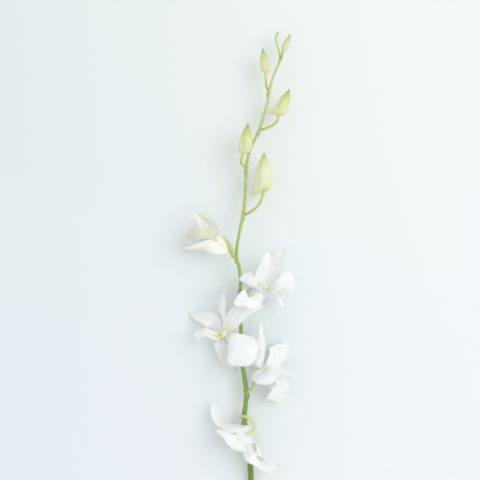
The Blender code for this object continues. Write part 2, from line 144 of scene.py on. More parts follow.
# %% [markdown]
# The surface is a plain pale sheet with painted light in its colour: it drifts a little, from a
# cool grey at the left, bluer at the cut end, to nearly white at the right, as window light
# falls on a large sheet of paper. One even colour would be simpler, but would look like a
# cut-out. Four colours mixed by the place on the sheet are enough for the drift.

# %% Surface
SHEET = 8.0                      # metres across
# the sheet's colours with painted light, at its left and right, at the cut end and at the tip of
# the spray
SHEET_PAINTED_LIGHT = {
    "low": (paint(234, 239, 245), paint(241, 245, 246)),
    "high": (paint(233, 238, 238), paint(241, 246, 244)),
}
DRIFT_X = (-0.20, 0.16)
DRIFT_Y = (-0.14, 0.24)


def make_sheet():
    mesh = bpy.data.meshes.new("sheet")
    bm = bmesh.new()
    bmesh.ops.create_grid(bm, x_segments=2, y_segments=2, size=SHEET / 2)
    bm.to_mesh(mesh)
    bm.free()
    mat = bpy.data.materials.new("pale_sheet")
    mat.use_nodes = True
    tree = mat.node_tree
    place = add_node(tree, "SeparateXYZ", Vector=add_node(tree, "TexCoord").outputs["Object"])
    # painted light: the colour is mixed by the place on the sheet, lighter to the right
    across = remap(tree, place.outputs["X"], *DRIFT_X)
    low = blend_colours(tree, across, *SHEET_PAINTED_LIGHT["low"])
    high = blend_colours(tree, across, *SHEET_PAINTED_LIGHT["high"])
    both = blend_colours(tree, remap(tree, place.outputs["Y"], *DRIFT_Y), low, high)
    shader = tree.nodes["Principled BSDF"]
    tree.links.new(both, shader.inputs["Base Color"])
    shader.inputs["Roughness"].default_value = 0.9
    shader.inputs["Specular IOR Level"].default_value = 0.1
    mesh.materials.append(mat)
    add_object("sheet", mesh)


make_sheet()
print("sheet:", SHEET, "m across")

# %% [markdown]
# White petals on white paper show their form only by their shading. A large soft lamp
# stands to the right, and an even sky from all sides gives the rest, so that a flat white
# patch comes out at the level it is written in. A small bright lamp would draw harder
# shadows than window light does.

# %% Lamp and sky
LAMP_PLACE = (1.5, 0.6, 2.5)
LAMP_SIZE = 1.8
LAMP_POWER = 24.5                # watts
SKY = 0.80
SKY_COLOUR = paint(252, 254, 255)
SKY_SEEN = paint(236, 243, 243)            # what the camera sees of the sky past the sheet


def make_light():
    lamp = add_object("lamp", bpy.data.lights.new("lamp", "AREA"))
    lamp.data.size = LAMP_SIZE
    lamp.data.energy = LAMP_POWER
    lamp.location = LAMP_PLACE
    aim = lamp.location.copy()
    aim.x -= AIM[0]
    aim.y -= AIM[1]
    lamp.rotation_euler = aim.to_track_quat("Z", "Y").to_euler()
    world = bpy.data.worlds.new("sky")
    bpy.context.scene.world = world
    world.use_nodes = True
    tree = world.node_tree
    sky = tree.nodes["Background"]
    sky.inputs["Color"].default_value = SKY_COLOUR
    sky.inputs["Strength"].default_value = SKY
    seen = add_node(tree, "Background", Color=SKY_SEEN, Strength=1.0)
    rays = add_node(tree, "LightPath")
    swap = add_node(tree, "MixShader")
    tree.links.new(rays.outputs["Is Camera Ray"], swap.inputs[0])
    tree.links.new(sky.outputs[0], swap.inputs[1])
    tree.links.new(seen.outputs[0], swap.inputs[2])
    tree.links.new(swap.outputs[0], tree.nodes["World Output"].inputs["Surface"])


make_light()
print("lamp:", LAMP_POWER, "W, sky:", SKY)

# %% [markdown]
# ## The plan of the spray
#
# The numbers below are the design numbers that the solids were built from, in millimetres.
# The stem is a list of places along its middle, each with a radius. A bud is a base, a tip
# and a width.

# %% Plan of the stem and of the buds
MM = 0.001
SHIFT = np.array((-0.86, 0.84, 0.0))       # brings the middle of the footprint to the origin
GAP = 0.3                                  # clearance between neighbouring pieces

# x, y and z of the stem's middle, and its radius there
STEM = [
    (15.8, -215.0, 2.25, 2.25), (13.6, -180.0, 2.9, 2.25), (12.0, -148.0, 4.1, 2.2),
    (11.2, -122.0, 5.6, 2.15), (10.2, -107.0, 7.0, 2.1), (8.0, -91.0, 8.7, 2.0),
    (6.3, -76.5, 10.2, 2.0), (7.2, -67.0, 11.2, 1.8), (7.8, -56.5, 12.3, 1.9),
    (6.2, -45.0, 13.6, 1.7), (4.4, -34.0, 14.7, 1.6), (4.0, -22.0, 15.7, 1.55),
    (3.7, -8.0, 16.6, 1.4), (2.7, 4.0, 17.2, 1.35), (2.8, 15.5, 17.6, 1.45),
    (3.4, 28.0, 17.9, 1.25), (2.1, 38.0, 18.1, 1.25), (0.4, 45.0, 18.2, 1.35),
    (0.8, 53.0, 18.2, 1.15), (3.4, 67.5, 18.2, 1.15), (5.4, 77.0, 18.2, 1.3),
    (7.0, 93.0, 18.2, 1.1), (7.8, 112.0, 18.2, 1.25), (9.4, 121.5, 18.1, 1.05),
    (13.4, 131.5, 18.0, 1.05), (17.7, 141.1, 17.8, 1.2), (23.4, 160.0, 17.4, 0.95),
    (25.0, 170.0, 17.1, 1.1), (28.2, 181.0, 16.7, 0.8), (33.0, 193.0, 16.2, 0.95),
    (32.2, 200.0, 15.8, 0.65), (30.0, 208.6, 15.3, 0.9), (31.0, 212.6, 15.1, 1.0),
    (32.3, 215.2, 15.0, 0.55),
]

# a bud: stem station and side its stalk leaves from, how much it leans along the stem there,
# points the stalk passes, base and tip of the bud, its width, the way its spur points, how
# far the spur reaches out in half widths and down in widths and how soon it thins, and how
# far towards the spur the stalk meets the base
BUDS = {
    1: {"node": (29, (0.4, 0.0, 0.9)), "lean": 1.6, "via": [], "base": (35.3, 199.7, 16.6),
        "tip": (40.9, 212.3, 17.0), "width": 5.0, "spur": (-1.0, 0.3, 0.0),
        "foot": (0.15, -0.2, 1.5), "seat": 0.0},
    2: {"node": (27, (-1.0, 0.0, 0.1)), "lean": 1.7, "via": [(22.6, 175.6, 17.4)],
        "base": (22.3, 183.6, 17.6), "tip": (20.1, 201.4, 18.0), "width": 7.2,
        "spur": (1.0, 0.0, 0.1), "foot": (0.3, 0.08, 1.5), "seat": -0.1},
    3: {"node": (25, (1.0, 0.0, 0.2)), "lean": 0.5,
        "via": [(23.1, 141.8, 18.5), (28.2, 144.2, 18.9), (31.3, 147.6, 19.1)],
        "base": (32.0, 151.4, 19.1), "tip": (40.0, 170.6, 19.0), "width": 9.6,
        "spur": (-1.0, -0.1, 0.0), "foot": (1.1, 0.2, 1.0), "seat": 0.0},
    4: {"node": (22, (-0.6, 0.0, 0.8)), "lean": 0.6, "via": [(3.8, 115.5, 22.2)],
        "base": (6.4, 122.4, 24.8), "tip": (9.0, 144.5, 25.2), "width": 10.0,
        "spur": (-0.9, -0.3, 0.2), "foot": (0.35, 0.04, 1.5), "seat": 1.1},
    5: {"node": (20, (1.0, 0.0, 0.2)), "lean": 0.6,
        "via": [(13.8, 80.9, 19.2), (18.2, 86.0, 19.6)],
        "base": (20.6, 94.6, 19.7), "tip": (21.1, 123.0, 19.6), "width": 13.8,
        "spur": (-1.0, -0.25, 0.0), "foot": (0.79, 0.38, 1.4), "seat": -0.2},
}
print("stem stations:", len(STEM), "buds:", len(BUDS))

# %% [markdown]
# A flower is its centre, the way it faces, and a midline for each of its six blades. Some
# fine blades are fuller than their solids. To leave them room beside their neighbours, five
# midlines run up to 1.2 mm higher or lower here than in the solids: those of the right sepal
# and the lip of flower a, the left sepal of b, and the dorsal sepals of c and e.

# %% Plan of the flowers
# centre, the way it faces, the way its top sepal stands, the tip of its spur from the
# centre, the stalk's stem station and side, and the points the stalk passes; then for each
# blade its midline from the centre, the way its inner side faces near its tip, its width
# and how far its sides curl in
FLOWERS = {
    "a": {
        "centre": (-11.5, 56.0, 19.0), "faces": (-0.97, 0.1, 0.1), "top": (-0.1, 1.0, 0.0),
        "spur": (6.8, -7.8, -0.4),
        "node": (17, (-1.0, 0.0, 0.2)), "via": [(-2.8, 47.8, 21.4), (-3.4, 51.5, 22.0)],
        "dorsal_sepal": ([(-6.0, 9.5, 1.0), (-12.0, 15.5, 2.0), (-20.0, 24.5, 2.5)],
                         (-0.2, -0.4, 0.9), 14.0, 1.1),
        "right_petal": ([(-7.5, 5.2, 7.8), (-16.0, 6.0, 10.8), (-26.4, 4.8, 5.8)],
                        (0.3, 0.25, -0.9), 11.5, 0.5),
        "left_petal": ([(-4.5, 4.4, -8.6), (-8.0, 13.5, -10.6), (-11.6, 23.5, -9.4)],
                       (-0.4, -0.2, 0.9), 11.5, 0.4),
        "right_sepal": ([(-10.0, -2.6, 6.8), (-21.0, -4.2, 7.2), (-33.4, -4.6, 5.0)],
                        (0.05, 0.8, -0.6), 11.0, 0.35),
        "left_sepal": ([(-9.0, -5.5, -6.5), (-20.0, -6.0, -13.0), (-29.0, -6.5, -20.0)],
                       (0.1, 0.95, 0.3), 9.5, 0.3),
        "lip": ([(-8.0, -0.4, 1.0), (-15.0, 2.0, 2.4), (-23.2, 0.2, 3.0)],
                (0.1, 0.35, 0.93), 10.5, 0.5),
    },
    "b": {
        "centre": (15.5, 21.0, 21.0), "faces": (0.88, 0.05, 0.46), "top": (0.1, 0.95, -0.2),
        "spur": (-6.0, -6.5, -4.0),
        "node": (14, (1.0, 0.0, 0.1)), "via": [(7.6, 18.2, 18.0)],
        "dorsal_sepal": ([(2.8, 10.0, -0.8), (6.4, 20.0, 1.0), (9.5, 29.5, 2.5)],
                         (0.5, -0.3, 0.8), 11.5, 0.3),
        "left_petal": ([(-4.5, 2.4, 8.7), (-6.8, 5.8, 13.6), (-4.0, 13.8, 16.4)],
                       (0.15, -0.2, -1.0), 16.0, 0.4),
        "right_petal": ([(7.5, 5.2, -7.0), (12.5, 13.0, -9.5), (16.5, 21.5, -9.5),
                         (21.5, 30.5, -9.0)], (-0.45, 0.1, 0.85), 16.0, 0.3),
        "left_sepal": ([(-4.9, -6.5, 7.0), (-9.0, -7.0, 12.3), (-17.4, -10.2, 13.8)],
                       (0.1, 0.25, -0.95), 15.5, 0.3),
        "right_sepal": ([(3.0, -7.0, -5.0), (11.5, -5.8, -5.5), (17.5, -7.8, -5.0),
                         (18.5, -16.5, -5.0)], (0.5, 0.7, 0.5), 11.0, 0.3),
        "lip": ([(8.0, -3.4, 3.0), (17.0, 2.0, 6.0), (25.0, 6.5, 3.5), (29.0, 5.0, -1.0)],
                (0.3, 0.35, 0.85), 16.0, 1.0),
    },
    "c": {
        "centre": (-8.5, -12.0, 15.5), "faces": (-0.22, -0.12, 0.97), "top": (0.87, 0.5, 0.2),
        "spur": (-2.0, -4.0, -7.5),
        "node": (11, (-1.0, 0.0, -0.4)), "via": [(-0.5, -20.5, 11.5), (-2.6, -14.5, 10.2)],
        "dorsal_sepal": ([(5.2, 7.4, 2.0), (10.6, 14.8, 4.0), (18.8, 18.9, 4.9),
                          (30.0, 20.4, 4.8)], (-0.1, 0.0, 1.0), 13.5, 0.25),
        "left_petal": ([(-1.2, 11.5, 8.0), (-3.2, 21.0, 9.0), (-2.0, 28.0, 8.0),
                        (2.4, 31.6, 5.5), (7.8, 33.2, 2.5)],
                       (0.2, -1.0, 0.3), 12.0, 0.4),
        "right_petal": ([(5.5, -4.4, 8.0), (12.8, -12.3, 12.5), (20.0, -22.4, 13.0)],
                        (0.05, 0.0, 1.0), 26.5, -0.3),
        "left_sepal": ([(-9.0, 8.6, -1.0), (-18.0, 10.8, -6.5), (-28.2, 13.4, -16.2)],
                       (-0.1, 0.35, 0.9), 13.0, 0.4),
        "right_sepal": ([(-2.6, -8.0, -3.0), (-1.0, -16.2, -6.5), (2.2, -24.4, -10.5),
                         (8.8, -30.6, -15.2)], (-0.3, 0.1, 0.9), 10.5, 0.2),
        "lip": ([(-6.5, -2.6, 3.0), (-13.5, -0.5, 3.5), (-22.3, -1.8, -1.0)],
                (0.2, 0.6, 0.75), 12.5, 0.9),
    },
    "d": {
        "centre": (20.0, -40.0, 17.5), "faces": (0.85, 0.2, 0.45), "top": (-0.1, 0.97, -0.2),
        "spur": (-8.6, -6.2, 0.0),
        "node": (8, (1.0, 0.0, 0.3)), "via": [(13.0, -52.5, 12.6), (14.4, -46.2, 11.4)],
        "dorsal_sepal": ([(-1.2, 11.0, -0.9), (-1.0, 24.0, -0.4), (-2.0, 37.0, 0.0)],
                         (0.8, 0.0, 0.6), 8.8, 0.4),
        "left_petal": ([(-4.0, 4.6, 5.5), (-5.4, 15.0, 5.4), (-8.0, 27.6, 3.8)],
                       (0.4, -0.1, -0.9), 15.0, 0.4),
        "right_petal": ([(6.5, 5.5, -6.0), (11.5, 11.0, -11.5), (21.6, 16.4, -18.0)],
                        (-0.3, -0.35, 0.85), 17.5, 0.3),
        "left_sepal": ([(2.0, -2.8, 8.8), (12.5, -0.3, 12.4), (26.5, -6.5, 9.4)],
                       (0.1, 0.5, -0.8), 14.0, 0.4),
        "right_sepal": ([(4.0, -8.5, -6.5), (7.0, -15.5, -11.5), (2.0, -22.0, -16.5)],
                        (0.6, 0.5, 0.5), 9.5, 0.3),
        "lip": ([(7.0, -4.2, 1.4), (12.8, -8.0, 2.5), (12.8, -17.0, -1.5), (11.6, -25.0, -7.5)],
                (0.3, 0.1, 0.95), 22.0, 0.6),
    },
    "e": {
        "centre": (6.5, -91.5, 18.5), "faces": (-0.35, -0.5, -0.79), "top": (-0.72, 0.62, -0.1),
        "spur": (6.0, -2.5, 4.0),
        "node": (6, (-0.9, 0.0, 0.45)),
        "via": [(4.4, -74.8, 14.4), (9.8, -76.2, 15.8), (14.2, -81.8, 17.8), (12.2, -86.6, 21.2)],
        "dorsal_sepal": ([(-1.9, 7.2, 0.4), (-8.8, 9.0, -2.4), (-16.8, 11.0, -6.2),
                          (-22.2, 17.2, -8.5), (-23.6, 27.6, -9.0)],
                         (-0.35, -0.75, -0.5), 11.5, 0.4),
        "right_petal": ([(-5.5, -2.4, 5.1), (-12.5, 2.2, 5.9), (-21.6, 7.6, 2.0)],
                        (-0.25, -0.45, -0.85), 11.0, -0.4),
        "left_petal": ([(-5.2, 3.4, -5.6), (-9.5, 5.0, -12.0), (-13.0, 6.5, -19.2)],
                       (-0.7, -0.5, -0.3), 13.0, 0.3),
        "right_sepal": ([(3.0, -8.5, 4.5), (8.2, -15.0, 3.0), (16.0, -21.4, 0.5),
                         (26.5, -19.2, -1.0)], (-0.6, -0.7, -0.4), 11.5, 0.3),
        "left_sepal": ([(6.7, -6.5, -4.0), (11.4, -11.9, -10.5), (13.9, -18.8, -17.8)],
                       (-0.6, -0.5, -0.5), 10.2, 0.3),
        "lip": ([(-0.5, -5.0, -3.8), (-4.0, -8.0, -9.5), (-8.5, -8.0, -17.5)],
                (-0.5, 0.4, -0.8), 13.0, 0.8),
    },
}
print("flowers:", len(FLOWERS))

# %% [markdown]
# ## Curves
#
# Nearly every piece follows a bent line, so the first tool is a smooth curve through a few
# knots. Read at even shares of its length, it gives places and the way the line runs. The
# work is done on whole lists at once with numpy, which keeps thousands of points quick.


# %% Curve helpers
def unit(vectors):
    return vectors / np.maximum(np.linalg.norm(vectors, axis=-1, keepdims=True), 1e-12)


def square_to(vectors, axes):
    """The part of each vector that is square to its axis, made one long."""
    return unit(vectors - axes * np.sum(vectors * axes, axis=-1, keepdims=True))


def spline(knots, at):
    """A smooth curve through evenly numbered knots, read at shares from 0 to 1."""
    k = np.asarray(knots, float)
    k = k.reshape(len(k), -1)
    k = np.vstack([2 * k[:1] - k[1:2], k, 2 * k[-1:] - k[-2:-1]])
    place = np.clip(at, 0, 1) * (len(k) - 3)
    i = np.minimum(place.astype(int), len(k) - 4)
    f = (place - i)[:, None]
    a, b, c, d = k[i], k[i + 1], k[i + 2], k[i + 3]
    return 0.5 * (2 * b + (c - a) * f + (2 * a - 5 * b + 4 * c - d) * f * f
                  + (3 * b - 3 * c + d - a) * f ** 3)


def even_curve(knots, at):
    """Places at shares of the curve's length, and the way it runs at each."""
    fine = spline(knots, np.linspace(0, 1, 600))
    steps = np.linalg.norm(np.diff(fine, axis=0), axis=1)
    far = np.concatenate([[0.0], np.cumsum(steps)])
    ways = unit(np.gradient(fine, axis=0))
    read = [np.interp(at * far[-1], far, fine[:, k]) for k in range(3)]
    way = [np.interp(at * far[-1], far, ways[:, k]) for k in range(3)]
    return np.stack(read, axis=1), unit(np.stack(way, axis=1)), far[-1]


def bump_at(values, middle, width):
    """A smooth hill of height 1 round a middle."""
    return np.exp(-((values - middle) / width) ** 2)


def fade(values, low, high):
    """0 below low, 1 above high, smooth between."""
    t = np.clip((values - low) / (high - low), 0, 1)
    return t * t * (3 - 2 * t)


print("a curve through 3 knots is", round(even_curve([(0, 0, 0), (1, 1, 0), (2, 0, 0)],
                                                     np.array([0.0, 1.0]))[2], 2), "long")

# %% [markdown]
# ## Meshes
#
# Two shapes are enough for the whole spray: a tube of rings, and a thin sheet with two
# sides. Curve objects with a bevel could do for the tubes, but here the thickness, ribs and
# seams change along them, and points in rings give a hold on all of that. Each mesh gets a
# map named span, which says how far round or across a point is, and how far along, so that
# a finish can follow the piece however it bends.


# %% Mesh helpers
def make_piece(name, points, faces, corners, finish, marks=None):
    """A named mesh from points in millimetres, its faces and the span of each corner."""
    mesh = bpy.data.meshes.new(name)
    mesh.from_pydata(((points + SHIFT) * MM).tolist(), [], faces)
    span = mesh.uv_layers.new(name="span")
    span.data.foreach_set("uv", np.asarray(corners, np.float32).ravel())
    if marks is not None:
        layer = mesh.attributes.new("marks", "FLOAT", "POINT")
        layer.data.foreach_set("value", np.asarray(marks, np.float32))
    bm = bmesh.new()
    bm.from_mesh(mesh)
    bmesh.ops.recalc_face_normals(bm, faces=bm.faces)
    bm.to_mesh(mesh)
    bm.free()
    mesh.shade_smooth()
    mesh.set_sharp_from_angle(angle=math.radians(60))
    mesh.materials.append(finish)
    return add_object(name, mesh)


def tube_mesh(name, rings, finish, marks=None):
    """A closed tube from rings of points, with a flat face at each end."""
    count, sides = rings.shape[:2]
    faces = []
    corners = []
    for i in range(count - 1):
        low, high = i / (count - 1), (i + 1) / (count - 1)
        for j in range(sides):
            k = (j + 1) % sides
            faces.append((i * sides + j, i * sides + k, (i + 1) * sides + k, (i + 1) * sides + j))
            left, right = j / sides, (j + 1) / sides
            corners += [(left, low), (right, low), (right, high), (left, high)]
    last = (count - 1) * sides
    faces.append(tuple(reversed(range(sides))))
    corners += [(j / sides, 0.0) for j in reversed(range(sides))]
    faces.append(tuple(range(last, last + sides)))
    corners += [(j / sides, 1.0) for j in range(sides)]
    return make_piece(name, rings.reshape(-1, 3), faces, corners, finish, marks)


def sheet_mesh(name, inner, outer, along, finish):
    """A closed thin sheet from a grid of points for each of its sides."""
    rows, columns = inner.shape[0] - 1, inner.shape[1] - 1
    wide = columns + 1
    far = (rows + 1) * wide
    faces = []
    corners = []

    def place(point):
        row, column = divmod(point % far, wide)
        return (column / columns, along[row])

    def add(*face):
        faces.append(face)
        corners.extend(place(point) for point in face)

    for i in range(rows):
        for j in range(columns):
            a = i * wide + j
            add(a, a + 1, a + wide + 1, a + wide)
            add(far + a + wide, far + a + wide + 1, far + a + 1, far + a)
        a = i * wide
        add(a, a + wide, far + a + wide, far + a)
        a += columns
        add(a + wide, a, far + a, far + a + wide)
    for j in range(columns):
        add(j + 1, j, far + j, far + j + 1)
        a = rows * wide + j
        add(a, a + 1, far + a + 1, far + a)
    points = np.concatenate([inner.reshape(-1, 3), outer.reshape(-1, 3)])
    return make_piece(name, points, faces, corners, finish, np.repeat([0.0, 1.0], far))


def carried_ups(ways, up):
    """A side direction carried along a line without turning about it."""
    ups = []
    for way in ways:
        up = square_to(up, way)
        ups.append(up)
    return np.array(ups)


def tube_rings(middles, ways, radii, sides, up=(0.0, 0.0, 1.0), shape=None):
    """Rings square to a line. shape gives a share of the radius for each ring and turn."""
    ups = carried_ups(ways, np.array(up))
    rights = np.cross(ways, ups)
    turns = np.linspace(0, 2 * math.pi, sides, endpoint=False)
    share = np.ones((len(middles), sides)) if shape is None else shape(turns)
    reach = (np.asarray(radii)[:, None] * share)[:, :, None]
    return middles[:, None] + reach * (ups[:, None] * np.cos(turns)[None, :, None]
                                       + rights[:, None] * np.sin(turns)[None, :, None])


def stand_for(piece, node):
    """The piece rides on the spray and stands for a solid of the frame."""
    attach(piece, "root")
    if node:
        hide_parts(node)
    return piece


print("mesh helpers ready")

# %% [markdown]
# ## Shared effects
#
# Petals, buds and stem share a few effects of living skin: faint veins or fibres along the
# piece, soft patches of another shade, and the tiny cells that make a petal glitter. The
# white pieces are also stained at their two ends. Each effect is a node group with named
# values, built once here and placed in each finish that needs it with its own numbers.


# %% Effect groups
def new_group(name, inputs, outputs):
    tree = bpy.data.node_groups.new(name, "ShaderNodeTree")
    for label, value in inputs.items():
        socket = tree.interface.new_socket(label, in_out="INPUT", socket_type="NodeSocketFloat")
        socket.default_value = value
    for label in outputs:
        tree.interface.new_socket(label, in_out="OUTPUT", socket_type="NodeSocketFloat")
    return tree, tree.nodes.new("NodeGroupInput").outputs, tree.nodes.new("NodeGroupOutput").inputs


def span_of(tree):
    """How far across and how far along the piece a point is, from 0 to 1."""
    node = add_node(tree, "UVMap", {"uv_map": "span"})
    parts = add_node(tree, "SeparateXYZ", Vector=node.outputs["UV"])
    return parts.outputs["X"], parts.outputs["Y"]


def object_place(tree):
    return add_node(tree, "TexCoord").outputs["Object"]


def make_vein_group():
    """Lines along the piece that wander a little: dark lines, and their height."""
    tree, given, out = new_group(
        "vein_lines", {"Count": 9.0, "Wander": 0.2, "Thin": 0.3}, ["Lines", "Height"])
    across, along = span_of(tree)
    drift = noise(tree, object_place(tree), 220.0, 3.0)
    drift = calc(tree, "MULTIPLY", calc(tree, "SUBTRACT", drift, 0.5), given["Wander"])
    steps = calc(tree, "MULTIPLY", calc(tree, "ADD", across, drift), given["Count"])
    off = calc(tree, "ABSOLUTE", calc(tree, "SUBTRACT", calc(tree, "FRACT", steps), 0.5))
    line = remap(tree, off, 0.0, given["Thin"], 1.0, 0.0)
    patchy = remap(tree, noise(tree, object_place(tree), 90.0), 0.35, 0.6, 0.35, 1.0)
    ends = remap(tree, along, 1.0, 0.8, 0.0, 1.0)
    lines = calc(tree, "MULTIPLY", calc(tree, "MULTIPLY", line, patchy), ends)
    tree.links.new(lines, out["Lines"])
    tree.links.new(line, out["Height"])
    return tree


def make_patch_group():
    """Soft patches of the piece's real size, from 0 to 1."""
    tree, given, out = new_group("soft_patches", {"Scale": 90.0, "Edge": 0.2}, ["Patches"])
    cloud = noise(tree, object_place(tree), given["Scale"], 3.0)
    low = calc(tree, "SUBTRACT", 0.5, given["Edge"])
    high = calc(tree, "ADD", 0.5, given["Edge"])
    tree.links.new(remap(tree, cloud, low, high), out["Patches"])
    return tree


def make_end_group():
    """Where a stain spreads from the root and from the tip of the piece."""
    tree, given, out = new_group(
        "end_stains", {"Root": 0.2, "Tip": 0.1, "Ragged": 0.1}, ["Root", "Tip"])
    along = span_of(tree)[1]
    rag = calc(tree, "SUBTRACT", noise(tree, object_place(tree), 260.0, 3.0), 0.5)
    along = calc(tree, "ADD", along, calc(tree, "MULTIPLY", rag, given["Ragged"]))
    tree.links.new(remap(tree, along, given["Root"], 0.0), out["Root"])
    from_tip = calc(tree, "SUBTRACT", 1.0, along)
    tree.links.new(remap(tree, from_tip, given["Tip"], 0.0), out["Tip"])
    return tree


def make_cell_group():
    """The fine raised cells of a living skin."""
    tree, given, out = new_group("skin_cells", {"Scale": 4000.0}, ["Height"])
    cells = add_node(tree, "TexVoronoi", Vector=object_place(tree), Scale=given["Scale"])
    tree.links.new(cells.outputs["Distance"], out["Height"])
    return tree


VEIN_LINES = make_vein_group()
SOFT_PATCHES = make_patch_group()
END_STAINS = make_end_group()
SKIN_CELLS = make_cell_group()
print("groups:", [g.name for g in bpy.data.node_groups])

# %% [markdown]
# A finish is one material: its even values are set on the shader, and the effects above are
# mixed into its colour, roughness and relief. Three helpers do what every finish needs.


# %% Finish helpers
def use_group(tree, group, **values):
    node = tree.nodes.new("ShaderNodeGroup")
    node.node_tree = group
    for key, value in values.items():
        feed(tree, node.inputs[key], value)
    return node.outputs


def new_finish(name, **fixed):
    """A material whose even values are set on the shader itself."""
    mat = bpy.data.materials.new(name)
    mat.use_nodes = True
    shader = mat.node_tree.nodes["Principled BSDF"]
    for key, value in fixed.items():
        shader.inputs[key.replace("_", " ")].default_value = value
    return mat, mat.node_tree, shader.inputs


def relief(tree, sockets, height, depth):
    """A Bump node of a real depth in metres, fed into the shader's normal."""
    bump = add_node(tree, "Bump", Height=height, Distance=depth, Strength=1.0)
    tree.links.new(bump.outputs["Normal"], sockets["Normal"])


# %% [markdown]
# ## Petal finishes
#
# A petal is a thin film of clear cells with air between them: white, a little see-through,
# and satin rather than matt. Light that enters it spreads inside, so the shadow side of a
# petal stays bright. Plain white paint would leave that side grey. Subsurface scattering
# over half a millimetre or so keeps it bright. The veins are the only places with less air,
# and look a little greyer and greener.


# %% Petal, sepal and lip finishes
PATCH_STRENGTH = 0.12            # how much greener the soft patches are
TIP_STRENGTH = 0.8
ROOT_INSIDE, ROOT_OUTSIDE = 0.9, 0.15      # the stain at the root, on either side of a blade
PETAL_RELIEF = 0.00007           # depth of veins and cells, in metres


def petal_finish(name, body, vein, root, tip, root_reach, tip_reach, veins=9.0, strength=0.15,
                 subsurface=0.12):
    mat, tree, sockets = new_finish(
        name, Subsurface_Weight=subsurface, Subsurface_Scale=0.0006,
        Subsurface_Radius=(1.0, 1.0, 0.9), Specular_IOR_Level=0.35, Sheen_Weight=0.08)
    lines = use_group(tree, VEIN_LINES, Count=veins, Wander=0.10, Thin=0.32)
    patches = use_group(tree, SOFT_PATCHES, Scale=110.0, Edge=0.2)["Patches"]
    ends = use_group(tree, END_STAINS, Root=root_reach, Tip=tip_reach, Ragged=0.16)
    colour = blend_colours(tree, calc(tree, "MULTIPLY", lines["Lines"], strength), body, vein)
    colour = blend_colours(tree, calc(tree, "MULTIPLY", patches, PATCH_STRENGTH), colour, vein)
    colour = blend_colours(tree, calc(tree, "MULTIPLY", ends["Tip"], TIP_STRENGTH), colour, tip)
    outer = add_node(tree, "Attribute", {"attribute_name": "marks"}).outputs["Fac"]
    by_side = remap(tree, outer, 0.0, 1.0, ROOT_INSIDE, ROOT_OUTSIDE)
    colour = blend_colours(tree, calc(tree, "MULTIPLY", ends["Root"], by_side), colour, root)
    tree.links.new(colour, sockets["Base Color"])
    tree.links.new(remap(tree, patches, 0.0, 1.0, 0.42, 0.56), sockets["Roughness"])
    cells = use_group(tree, SKIN_CELLS, Scale=3500.0)["Height"]
    height = calc(tree, "ADD", calc(tree, "MULTIPLY", lines["Height"], -0.35),
                  calc(tree, "MULTIPLY", cells, 0.35))
    relief(tree, sockets, height, PETAL_RELIEF)
    return mat


WHITE = paint(247, 249, 248)
VEIN = paint(222, 229, 219)
PETAL = petal_finish("white_petal", WHITE, VEIN, paint(236, 235, 206), paint(238, 240, 226),
                     0.28, 0.06)
SEPAL = petal_finish("white_sepal", WHITE, VEIN, paint(238, 238, 214), paint(214, 220, 178),
                     0.26, 0.08, 7.0)
# painted shade: a darker grey-green finish for the youngest flower's near petal, which lies in
# shade
PAINTED_SHADE_PETAL = petal_finish("petal_with_painted_shade", paint(222, 226, 206), paint(204, 211, 178),
                           paint(226, 233, 190), paint(220, 225, 190), 0.3, 0.12)
YOUNG_SEPAL = petal_finish("young_sepal", paint(248, 250, 240), paint(230, 236, 212),
                           paint(246, 248, 226), paint(212, 220, 166), 0.2, 0.12, 7.0)
LIP = petal_finish("white_lip", WHITE, VEIN, paint(244, 243, 204), paint(240, 238, 226),
                   0.46, 0.04, 11.0, 0.2)
YELLOW_LIP = petal_finish("yellow_throated_lip", WHITE, VEIN, paint(234, 229, 160),
                          paint(240, 238, 226), 0.46, 0.04, 11.0, 0.2)
print("finishes so far:", len(bpy.data.materials))

# %% [markdown]
# ## Blades
#
# A blade is a sheet bent in three ways at once: its midline bends, its sides curl in, and
# its margin waves. Each is worked out on a grid of points. The sheet is thick at its middle
# and root, and thin at its margin, so it looks like a petal from every side and not like
# card. It could be pulled into shape by hand, point by point. A formula was chosen, because
# thirty blades and nine scales can share it and still differ in a few numbers.
#
# An outline gives a blade's width at even steps from its root, as shares of its full width,
# and how far along it the tip starts to round off.

# %% Blade outlines and curls
OUTLINES = {
    "dorsal_sepal": ([0.45, 0.9, 1.0, 0.9, 0.72, 0.5], 0.45),
    "left_sepal": ([0.95, 1.0, 0.87, 0.68, 0.5, 0.32], 0.45),
    "right_sepal": ([0.95, 1.0, 0.87, 0.68, 0.5, 0.32], 0.45),
    "left_petal": ([0.24, 0.36, 0.72, 0.98, 1.0, 0.8], 0.58),
    "right_petal": ([0.24, 0.36, 0.72, 0.98, 1.0, 0.8], 0.58),
    "lip": ([0.26, 0.72, 0.6, 0.72, 1.0, 1.0], 0.72),
    "bract": ([0.95, 1.0, 0.8, 0.5], 0.4),
}
# how much the sides curl in, from root to tip, as a share of the blade's own curl
CURLS = {"sepal": [0.15, 0.7, 1.0, 1.0], "petal": [0.3, 1.0, 1.0, 0.8],
         "lip": [0.8, 1.2, 0.9, 0.4, 0.2], "bract": [1.0, 1.0]}
print("outlines:", list(OUTLINES))

# %% [markdown]
# Sepals, petals, lips and scales are four families. What sets them apart is one table, so
# that a single function can shape them all.

